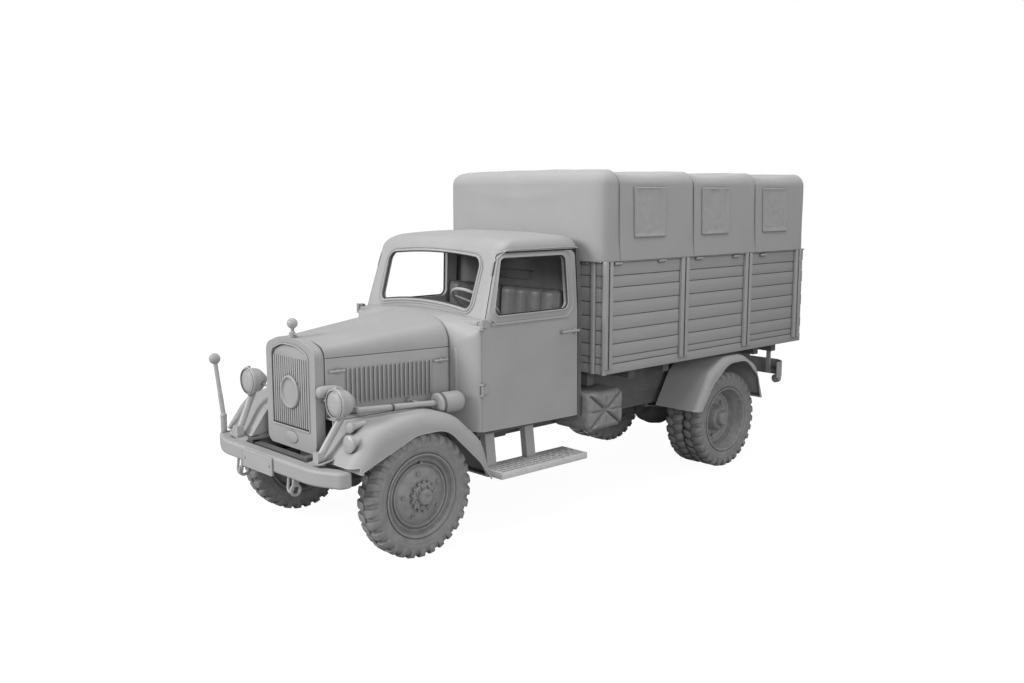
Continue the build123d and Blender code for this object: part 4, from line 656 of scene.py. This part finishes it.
for side, word in ((1, "left"), (-1, "right")):
    place = FLIP if side < 0 else Matrix()
    # each step is how far outside the opening's edge it lies, and how far it stands off the cab's side
    steps = ((72, -3), (72, 5), (68, 9), (62, 9), (57, 4), (20, 3), (14, 6), (9, 9), (3, 9), (-1, 5),
             (-2, -14))
    band = skin([[(hull_x(y, z) + proud, y, z) for y, z in window_edge(grow)] for grow, proud in steps])
    for z, tall in ((HINGE_HIGH, 1.0), (HINGE_LOW, 1.35)):
        boss = turned([(0, 30), (6, 29), (9, 24), (7, 18), (9, 12), (10, 0)], 28)
        put(band, boss, Matrix.Translation((CAB_HALF, 712, z)) @ Matrix.Diagonal((1, 0.8, tall, 1)))
    rose = turned([(0, 27), (6, 26), (9, 20), (20, 14), (30, 13), (30, 0)], 28)
    put(band, rose, Matrix.Translation((819, 1712, 1545)))
    put(band, run([(850, 1724, 1544), (852, 1690, 1545), (853, 1640, 1548), (852, 1590, 1546),
                   (848, 1556, 1541)], 10))
    trim = bmesh.new()
    put(trim, band, place)
    piece("door_window_rim_" + word, trim, primer, "door_" + word)
    seal = bmesh.new()
    bead = run([(hull_x(y, z) - 5, y, z) for y, z in window_edge(-5)], 5.5, True, True, 2)
    put(seal, bead, place)
    piece("door_window_seal_" + word, seal, seal_rubber_with_painted_shade, "door_" + word)


def screen_edge(grow):
    """The windscreen opening's edge, bowed up in the middle, grown outwards by a margin."""
    low, high = 1764 - grow, 2184 + min(grow, 18)
    outline = rounded([(-598 - grow, low, 70 + grow), (598 + grow, low, 70 + grow),
                       (610 + grow, high, 80 + grow), (-610 - grow, high, 80 + grow)], 9)
    return [(x, z + max(0.0, 1 - (x / 600) ** 2) * (46 if z < 2000 else 32)) for x, z in divided(outline, 12)]


steps = ((34, -2), (34, 3), (30, 7), (25, 7), (21, 3), (17, 3), (14, 8), (8, 13), (0, 13), (-5, 8), (-6, -14))
rim = skin([[(x, screen_y(z) - 1 - proud, z) for x, z in screen_edge(grow)] for grow, proud in steps])
piece("windscreen_rim", rim, primer, "chassis")
seal = run([(x, screen_y(z) + 9, z) for x, z in screen_edge(-9)], 7, True, True, 2)
piece("windscreen_seal", seal, seal_rubber_with_painted_shade, "chassis")

EAVES, ROOF_BACK, ROOF_MIDDLE_Y = 2232.0, 1800.0, 1330.0
ROOF_RISE, CROWN_RISE = 104.0, 42.0


def roof_loop(up, side_in, front_in, back_in, round_by):
    """One level line of the roof: straight sides between rounded corners."""
    x = cab_x(EAVES) + 3 - side_in
    front = screen_y(up) - 1 + front_in
    back = ROOF_BACK - back_in
    return divided(rounded([(-x, front, round_by), (x, front, round_by), (x, back, 40 + round_by * 0.4),
                            (-x, back, 40 + round_by * 0.4)], 9), 16)


loops = []
for step in range(11):
    turn = math.radians(step * 8.0)
    up, inward = EAVES + ROOF_RISE * math.sin(turn), 1 - math.cos(turn)
    line = roof_loop(up, 112 * inward, 128 * inward, 58 * inward, 80 + 7 * step)
    loops.append([(p.x, p.y, up) for p in line])
edge = loops[-1]
for inner in range(1, 9):
    keep = 1 - inner / 8
    loops.append([(x * keep, ROOF_MIDDLE_Y + (y - ROOF_MIDDLE_Y) * keep, z + CROWN_RISE * (1 - keep ** 2))
                  for x, y, z in edge])
roof = skin(loops)
bmesh.ops.solidify(roof, geom=roof.faces[:], thickness=14)
for side in (1, -1):
    seam = [(hull_x(screen_y(z) + 9, z) + 1, screen_y(z) + 4, z) for z in (2050, 2110, 2160)]
    gutter = ((922, 2214), (950, 2238), (1010, 2244), (1300, 2245), (1600, 2245), (1740, 2245), (1772, 2236))
    seam += [(hull_x(y, z) + 3, y, z) for y, z in gutter]
    put(roof, run([(x * side, y, z) for x, y, z in seam], 6))
piece("cab_roof_pressing", roof, primer, "chassis", ["cab_roof"], 45)


def cowl_side(s, t):
    """A point of the left cowl: s runs from the hood's end to the door, t from the foot to the middle."""
    if t < 0.5:
        k = t / 0.5
        near, far = Vector((505, 600, 832 + k * 669)), Vector((820, 668, 832 + k * 840))
        flat = 0.0
    elif t < 0.72:
        k = (t - 0.5) / 0.22
        turn = math.radians(70.85 * k)
        near = Vector((315 + 190 * math.cos(turn), 600, 1501 + 190 * math.sin(turn)))
        turn = math.radians(90 * k)
        far = Vector((740 + 80 * math.cos(turn), 668 + 52 * math.sin(turn), 1672 + 36 * math.sin(turn)))
        flat = k
    else:
        k = (t - 0.72) / 0.28
        turn = math.radians(19.15 * (1 - k))
        near = Vector((1150 * math.sin(turn), 600, 594 + 1150 * math.cos(turn)))
        high = 1708 + 40 * math.sin(math.radians(90 * k))
        far = Vector((740 * (1 - k), screen_y(high) + 5, high))
        flat = 1.0
    swell, draw = math.sin(s * math.pi / 2) ** 0.85, 1 - math.cos(s * math.pi / 2)
    along = (swell * (1 - flat) + s * flat, draw * (1 - flat) + s * flat, s)
    return Vector(a + (b - a) * f for a, b, f in zip(near, far, along))


cowl = bmesh.new()
grid = skin([[cowl_side(s / 12, t / 48) for t in range(49)] for s in range(13)], closed=False)
both(cowl, grid)
bmesh.ops.remove_doubles(cowl, verts=cowl.verts, dist=0.5)
bmesh.ops.recalc_face_normals(cowl, faces=cowl.faces)
bmesh.ops.solidify(cowl, geom=cowl.faces[:], thickness=10)
# the dashboard, the ledge over it and the bulkhead
put(cowl, bar((-768, 672, 1560), (768, 752, 1655), 18, 3))
put(cowl, bar((-770, 664, 1655), (770, 716, 1700), 8, 2))
put(cowl, bar((-770, 664, 830), (770, 676, 1600), 3, 1))
for z, sides in ((HINGE_HIGH, (-1,)), (HINGE_LOW, (-1, 1))):
    for side in sides:
        low, high = sorted((z + side * 34, z + side * 50))
        lug = pillar(11, high - low, 16, round_by=2)
        bmesh.ops.translate(lug, vec=(836, 662, low), verts=lug.verts)
        put(lug, bar((756, 652, low), (836, 664, high), 2, 1))
        both(cowl, lug)
piece("cowl_pressing", cowl, primer, "chassis", ["cowl"], 50)

strip = bmesh.new()
rail = bar((-22, -15, 1130), (22, 13, 1484), 13, 4)
set_back = Matrix.Translation((590, 610, 0)) @ turned_about("Z", 12)
bmesh.ops.transform(rail, matrix=set_back, verts=rail.verts)
both(strip, rail)
piece("cowl_strips", strip, primer, "chassis")

# ---------------------------------------------------------------- nose


def ring(radius, thick, centre):
    """A round bead about a point, facing along the truck."""
    turns = [math.tau * i / 48 for i in range(48)]
    bm = run([(radius * math.cos(a), 0, radius * math.sin(a)) for a in turns], thick, True, True, 2)
    bmesh.ops.translate(bm, vec=centre, verts=bm.verts)
    return bm


nose = bmesh.new()
grille = bmesh.new()
recess = [(p.x, p.y) for p in rounded([(-256, 932, 8), (256, 932, 8), (256, 1500, 60), (108, 1554, 300),
                                       (-108, 1554, 300), (-256, 1500, 60)], 6)]
stand = turned_about("X", 90)
put(grille, drawn(recess, 6), Matrix.Translation((0, -509, 0)) @ stand)
head = drawn([(256, 1461)] + [(x, z) for x, z in recess if z > 1461] + [(-256, 1461)], 18, 4, 2)
put(grille, head, Matrix.Translation((0, -511, 0)) @ stand)
for i in range(17):
    x = -240 + i * 30
    put(grille, bar((x - 11, -538, 936), (x + 11, -508, 1462), 6, 3))
# a plain ring round a blank disc
badge = turned([(-543, 0), (-542, 60), (-540, 92), (-543, 100), (-549, 103), (-557, 110), (-558, 118),
                (-552, 126), (-538, 128), (-512, 128)], 64)
put(grille, badge, turned_about("Z", 90) @ Matrix.Translation((0, 0, 1200)))
piece("grille_bars_and_badge", grille, primer, "chassis", ["grille"])
arch = [(x, -542, z) for x, z in rounded([(-262, 924, 10), (262, 924, 10), (262, 1504, 62), (108, 1562, 300),
                                        (-108, 1562, 300), (-262, 1504, 62)], 7)]
put(nose, run(arch, 6, True, True, 2))
for z in (1462, 946):
    put(nose, bar((-250, -531, z - 9), (250, -519, z + 9), 4))
oval = Matrix.Diagonal((2.2, 1, 1.15, 1)) @ turned_about("Z", -90)
put(nose, turned([(0, 42), (8, 40), (12, 30), (14, 0)], 32), Matrix.Translation((0, -539, 852)) @ oval)
piece("radiator_front_trim", nose, primer, "chassis")

valance = bmesh.new()
sheet = bar((452, -706, 748), (676, -452, 762), 6, 3)
cut_up(sheet, (1, 0, 0), 460, 668, 24)
for v in sheet.verts:
    v.co.z += 42 * ((v.co.x - 452) / 224) ** 2 + (v.co.y + 706) * 0.14
both(valance, sheet)
piece("front_valances", valance, primer, "chassis")

lamps = bmesh.new()
half = bmesh.new()
put(half, ring(106, 8, (624, -553, 1200)))
put(half, ring(100, 3.5, (624, -566, 1200)))
put(half, bar((612, -556, 1304), (636, -530, 1322), 4))
for x, y, z, radius in ((705, -500, 1035, 42), (800, -570, 940, 62)):
    put(lamps, ring(radius - 3, 5, (x, y + 6, z)))
both(lamps, half)
piece("lamp_rims", lamps, enamel, "chassis")

hooks = bmesh.new()
for x, z in ((326, 607), (-425, 598)):
    loop = rounded([(x - 34, z - 74, 33), (x + 34, z - 74, 33), (x + 34, z + 84, 33),
                    (x - 34, z + 84, 33)], 5)
    put(hooks, run([(a, -752 + (b - z) * 0.12, b) for a, b in loop], 11, True, True, 3))
    put(hooks, bar((x - 26, -765, z + 40), (x + 26, -725, z + 92), 8, 2))
piece("bumper_tow_hooks", hooks, cast_paint, "chassis")

plate = bmesh.new()
edge = rounded([(-289, 624, 12), (139, 624, 12), (139, 750, 12), (-289, 750, 12)], 4)
put(plate, run([(x, -801, z) for x, z in edge], 4, True, True, 2))
for x in (-255, 105):
    put(plate, pillar(8, 6, 12, round_by=2), Matrix.Translation((x, -802, 687)) @ turned_about("X", 90))
piece("blank_plate_rim", plate, enamel, "chassis")

# ---------------------------------------------------------------- fenders, steps and canister

beads = bmesh.new()
half = bmesh.new()
arch = rounded([(-546, 742, 0), (-546, 762, 8), (-70, 952, 300), (215, 952, 250), (540, 640, 300),
                (655, 486, 0)], 9)
put(half, run([(947, y, z) for y, z in arch], 6, False, True, 2))
mid = WHEELBASE
arch = rounded([(mid - 530, 646, 0), (mid - 360, 880, 250), (mid - 110, 1062, 260), (mid + 190, 1062, 200),
                (mid + 400, 880, 200), (mid + 458, 646, 0)], 9)
put(half, run([(1017, y, z) for y, z in arch], 6, False, True, 2))
both(beads, half)
piece("fender_edge_beads", beads, primer, "chassis")

tread = bmesh.new()
half = bmesh.new()
put(half, bar((657, 757, 452), (953, 1748, 507), 7, 2))
for row in range(7):
    for place in range(26):
        stud = bar((-15, -4, 0), (15, 4, 6), 3, 1)
        turn = 35 if (row + place) % 2 else -35
        put(half, stud, Matrix.Translation((690 + row * 38, 790 + place * 37, 504)) @ turned_about("Z", turn))
both(tread, half)
piece("step_treads", tread, step_paint_painted_lighter, "chassis")

bands = bmesh.new()
for y in (336, 350):
    put(bands, ring(89, 4, (690, y, 1085)))
for y in (-60, 120):
    put(bands, ring(26, 5, (636, y, 1108)))
piece("canister_bands", bands, chassis_paint, "chassis")

# ---------------------------------------------------------------- stowage box and cab interior

stowage = bar((470, 1812, 655), (905, 2265, 992), 48, 5)
cut_up(stowage, (0, 1, 0), 1862, 2215, 15)
cut_up(stowage, (0, 0, 1), 705, 942, 15)
for v in stowage.verts:
    across, up = (v.co.y - 2038) / 226, (v.co.z - 823) / 168
    if v.co.x > 868:
        cross = min(abs(across - up), abs(across + up))
        edge = min(1.0, max(0.0, 1.12 - max(abs(across), abs(up))) * 3)
        spoke = min(cross, abs(across) * 1.3, abs(up) * 1.6)
        groove, fine = math.exp(-(cross / 0.11) ** 2), math.exp(-(spoke / 0.06) ** 2)
        v.co.x += 8 * edge - 26 * groove * edge - 12 * fine * edge
        v.co.x -= noise.noise(v.co / 60) * 5
    v.co.y += noise.noise(v.co / 110) * 5
# the box gets the darker wheel enamel as painted shade under the bed
piece("stowage_box_pressings", stowage, wheel_paint, "chassis", ["toolbox"])

# the seat's base gets the darker chassis paint as painted shade inside the cab
seat_base = bar((-700, 1190, 835), (700, 1660, 1244.5), 6)
piece("seat_base_box", seat_base, chassis_paint, "chassis", ["seat"])


def pleated(low, high, front, deep):
    """Upholstery sewn in channels: a soft-edged pad whose face swells between its seams."""
    bm = bar(low, high, 46, 6)
    cut_up(bm, (1, 0, 0), low[0] + 36, high[0] - 36, 16)
    cut_up(bm, (0, 0, 1) if front == "y" else (0, 1, 0), (low[2] if front == "y" else low[1]) + 40,
           (high[2] if front == "y" else high[1]) - 40, 30)
    for v in bm.verts:
        swell = abs(math.sin(math.pi * (v.co.x + 6) / 176)) ** 0.6
        if front == "y" and v.co.y < (low[1] + high[1]) / 2:
            v.co.y -= deep * (swell - 0.6)
        if front == "z" and v.co.z > (low[2] + high[2]) / 2:
            v.co.z += deep * (swell - 0.6)
    return bm


cushion = pleated((-718, 1126, 1250), (718, 1570, 1360), "z", 14)
piece("bench_cushion", cushion, leather, "chassis")
backs = bmesh.new()
for x in (-718, 12):
    back = pleated((x, 1590, 1375), (x + 706, 1700, 1880), "y", 34)
    for v in back.verts:
        v.co.y += (v.co.z - 1600) * 0.05
    put(backs, back)
piece("bench_back", backs, leather, "chassis")

dash = bmesh.new()
for x, radius in ((390, 62), (250, 44), (530, 44), (0, 52)):
    face = turned([(0, radius), (10, radius), (12, radius - 5), (7, radius - 9), (7, 0)], 36)
    put(dash, face, Matrix.Translation((x, 755, 1606)) @ turned_about("Z", 90))
for x in (110, 150, -120):
    put(dash, pillar(10, 22, 12, round_by=3), Matrix.Translation((x, 756, 1580)) @ turned_about("X", -90))
piece("dashboard_dials", dash, enamel, "chassis")

# ---------------------------------------------------------------- canvas cover

BOWS = (2030.0, 3060.0, 4050.0, 4930.0)
COVER_HALF, COVER_TOP = BED_HALF + 5, 2889.0
SEAM_ROUND = 129.0
SIDE_FROM, CROWN_FROM = 860, 2770
FLAP_FOOT, FLAP_HEAD, FLAP_LONG = 2312, 2744, 426


def sag(y):
    """How far the canvas falls in between two bows, from 0 over a bow to 1 midway."""
    for near, far in zip(BOWS, BOWS[1:]):
        if near <= y <= far:
            return math.sin(math.pi * ((y - near) / (far - near)) ** 0.62)
    return 0.0


def drape(spot):
    """Where a point of the cover's plain box comes to lie once it is pulled over the bows."""
    x, y, z = spot
    out = math.copysign(1, x) if abs(x) > 1 else 0.0
    rise = max(0.0, (z - BED_TOP) / 770)
    fall = sag(y)
    side = max(0.0, (abs(x) - SIDE_FROM) / (BED_HALF - SIDE_FROM))
    crown = max(0.0, (z - CROWN_FROM) / (COVER_TOP - CROWN_FROM))
    near = min(BOWS, key=lambda b: abs(y - b))
    # the ridge that stands over a bow, and the hollow just behind it
    over = math.exp(-((y - near + 14) / 32) ** 2)
    behind = math.exp(-((y - near - 34) / 20) ** 2) if near < 4900 else 0.0
    # slanting folds, broad ripples and small ones
    folds = noise.noise(Vector((x / 330, (y + 0.45 * z) / 130, z / 360)))
    ripple = folds * 5 + noise.noise(Vector((x / 210, y / 240, z / 300)) + Vector((7, 3, 1))) * 6
    ripple += noise.noise(Vector((x, y, z)) / 80) * 1.5
    tight = min(1.0, max(0.0, (z - BED_TOP) / 160))
    pull = 4 * rise ** 1.6 + fall * (5 + 18 * rise) * tight
    pull += behind * (8 + 15 * rise) * tight - over * 13 * rise
    x -= out * min(side, 1.0) * (pull - ripple * 0.55 * tight)
    z -= crown * (fall * 32 + (x / 1000) ** 2 * 14 - over * 9 + behind * 17 - ripple * 0.8)
    # the front wall: its own ripple, an upright seam and a crease that hangs under the front bow
    if y < BED_Y - 20:
        y += 3 - ripple * 0.7 * tight - 5 * math.exp(-((x + 330) / 9) ** 2)
        crease = math.exp(-((z - 2690 + 40 * math.cos(x / 330)) / 46) ** 2)
        y -= 6 * crease * (1 - min(1.0, abs(x) / 900) ** 2)
    return Vector((x, y, z))


def cover():
    """The cover: one skin stretched over the bows, open at its foot and through its rear flap."""
    bm = bar((-COVER_HALF, BED_Y - 40, BED_TOP), (COVER_HALF, BED_REAR, COVER_TOP))
    top = [v for v in bm.verts if v.co.z > 2500]
    edges = [e for e in bm.edges if e.verts[0] in top and e.verts[1] in top]
    edges += [e for e in bm.edges if abs(e.verts[0].co.z - e.verts[1].co.z) > 100]
    soften(bm, edges, 122, 9)
    foot = [f for f in bm.faces if f.normal.z < -0.9]
    bmesh.ops.delete(bm, geom=foot, context="FACES_ONLY")
    cut_up(bm, (0, 1, 0), BED_Y + 85, BED_REAR - 120, 22)
    cut_up(bm, (1, 0, 0), -880, 881, 40)
    cut_up(bm, (0, 0, 1), BED_TOP + 20, 2760, 32)
    gap = [f for f in bm.faces if f.normal.y > 0.9 and abs(f.calc_center_median().x) < 850
           and f.calc_center_median().z < 2630]
    bmesh.ops.delete(bm, geom=gap, context="FACES")
    for v in bm.verts:
        v.co = drape(v.co)
    return bm


cloth = cover()
area = sum(f.calc_area() for f in cloth.faces) / 1e6
bmesh.ops.recalc_face_normals(cloth, faces=cloth.faces)
bmesh.ops.solidify(cloth, geom=cloth.faces[:], thickness=5)
canvas_skin = piece("canvas_cover", cloth, canvas, "chassis", ["cover"], 60)

flaps = bmesh.new()
half = bmesh.new()
for start in (2262, 3222, 4218):
    flap = bar((990, start, FLAP_FOOT), (1020, start + FLAP_LONG, FLAP_HEAD), 11, 3)
    cut_up(flap, (0, 1, 0), start + 14, start + FLAP_LONG - 14, 15)
    cut_up(flap, (0, 0, 1), FLAP_FOOT + 14, FLAP_HEAD - 14, 15)
    for v in flap.verts:
        margin = min(v.co.y - start, start + FLAP_LONG - v.co.y, v.co.z - FLAP_FOOT, FLAP_HEAD - v.co.z)
        inside = min(1.0, margin / 40)
        if v.co.x > 1012 and inside > 0.3:
            crease = noise.noise(Vector((start / 9, (v.co.y + 0.22 * v.co.z) / 62, v.co.z / 190)))
            v.co.x += inside * (crease * 9 - 8 + abs(noise.noise(v.co / 52 + Vector((start, 0, 0)))) * 7)
        shift = drape((COVER_HALF, v.co.y, v.co.z)).x - COVER_HALF
        v.co.x += shift - 3
    put(half, flap)
both(flaps, half)
# the seams where two widths of cloth are sewn together
for y in (2080, 3110, 4100):
    turns = [math.radians(a) for a in range(0, 91, 15)]
    arc = [(COVER_HALF - SEAM_ROUND * (1 - math.cos(a)), COVER_TOP - SEAM_ROUND * (1 - math.sin(a)))
           for a in turns]
    path = [(COVER_HALF, z) for z in range(2124, 2750, 40)] + arc
    path += [(x, COVER_TOP) for x in range(840, -841, -60)]
    path += [(-x, z) for x, z in reversed(arc)] + [(-COVER_HALF, z) for z in range(2740, 2120, -40)]
    put(flaps, run([tuple(drape((x, y, z))) for x, z in path], 5.5, False, True, 2))
flap_cloth = piece("canvas_side_flaps", flaps, canvas, "chassis", (), 50)

# ---------------------------------------------------------------- stage, camera and light


def stage():
    """A white floor that keeps a soft shadow, and white all round."""
    bm = bmesh.new()
    bmesh.ops.create_grid(bm, x_segments=1, y_segments=1, size=60)
    mesh = bpy.data.meshes.new("studio_floor")
    bm.to_mesh(mesh)
    bm.free()
    floor = shown("studio_floor", mesh)
    made, tree = blank("white_studio_floor")
    ray = add(tree, "LightPath")
    matt = add(tree, "BsdfDiffuse", Color=linear("#9a9a9a"))
    glow = add(tree, "Emission", Color=linear("#ffffff"), Strength=1.333)
    share = add(tree, "Math", {"operation": "MULTIPLY"}, _0=ray.outputs["Is Camera Ray"], _1=0.72)
    mixed = add(tree, "MixShader", Fac=share.outputs[0], _1=matt.outputs[0], _2=glow.outputs[0])
    add(tree, "OutputMaterial", Surface=mixed.outputs[0])
    mesh.materials.append(made)
    world = bpy.data.worlds.new("white_studio")
    bpy.context.scene.world = world
    world.use_nodes = True
    tree = world.node_tree
    tree.nodes.clear()
    ray = add(tree, "LightPath")
    seen = add(tree, "Math", {"operation": "MAXIMUM"}, _0=ray.outputs["Is Camera Ray"],
               _1=ray.outputs["Is Transmission Ray"])
    strength = add(tree, "MapRange", Value=seen.outputs[0], To_Min=0.45, To_Max=1.0)
    sky = add(tree, "Background", Color=linear("#ffffff"), Strength=strength.outputs[0])
    add(tree, "OutputWorld", Surface=sky.outputs[0])


def softbox(name, place, aim, size, power):
    """A square lamp that faces a point."""
    lamp = bpy.data.lights.new(name, "AREA")
    lamp.energy = power
    lamp.size = size
    holder = shown(name, lamp)
    holder.location = place
    holder.rotation_euler = (Vector(aim) - Vector(place)).to_track_quat("-Z", "Y").to_euler()


stage()
softbox("front_softbox", (-9.5, -22.0, 11.0), (0, 0, 1), 9.0, 4000)
softbox("side_fill", (18.0, -9.0, 6.0), (0, 0, 1), 9.0, 1150)
softbox("overhead_softbox", (1.0, 0.0, 9.0), (0, 0, 0), 7.0, 350)

# the camera stands off the truck's front left corner, at about the cover's height
CAMERA_PLACE = (6.632, -6.588, 2.666)
CAMERA_DOWN, CAMERA_TURN = 8.191, 46.8288
FOCAL_MM, SENSOR_MM = 35.545, 36.0
lens = bpy.data.cameras.new("camera")
lens.lens = FOCAL_MM
lens.sensor_width = SENSOR_MM
lens.clip_end = 200
camera = shown("camera", lens)
camera.location = CAMERA_PLACE
camera.rotation_euler = (math.radians(90 - CAMERA_DOWN), 0, math.radians(CAMERA_TURN))
bpy.context.scene.camera = camera
bpy.context.scene.view_settings.view_transform = "Standard"
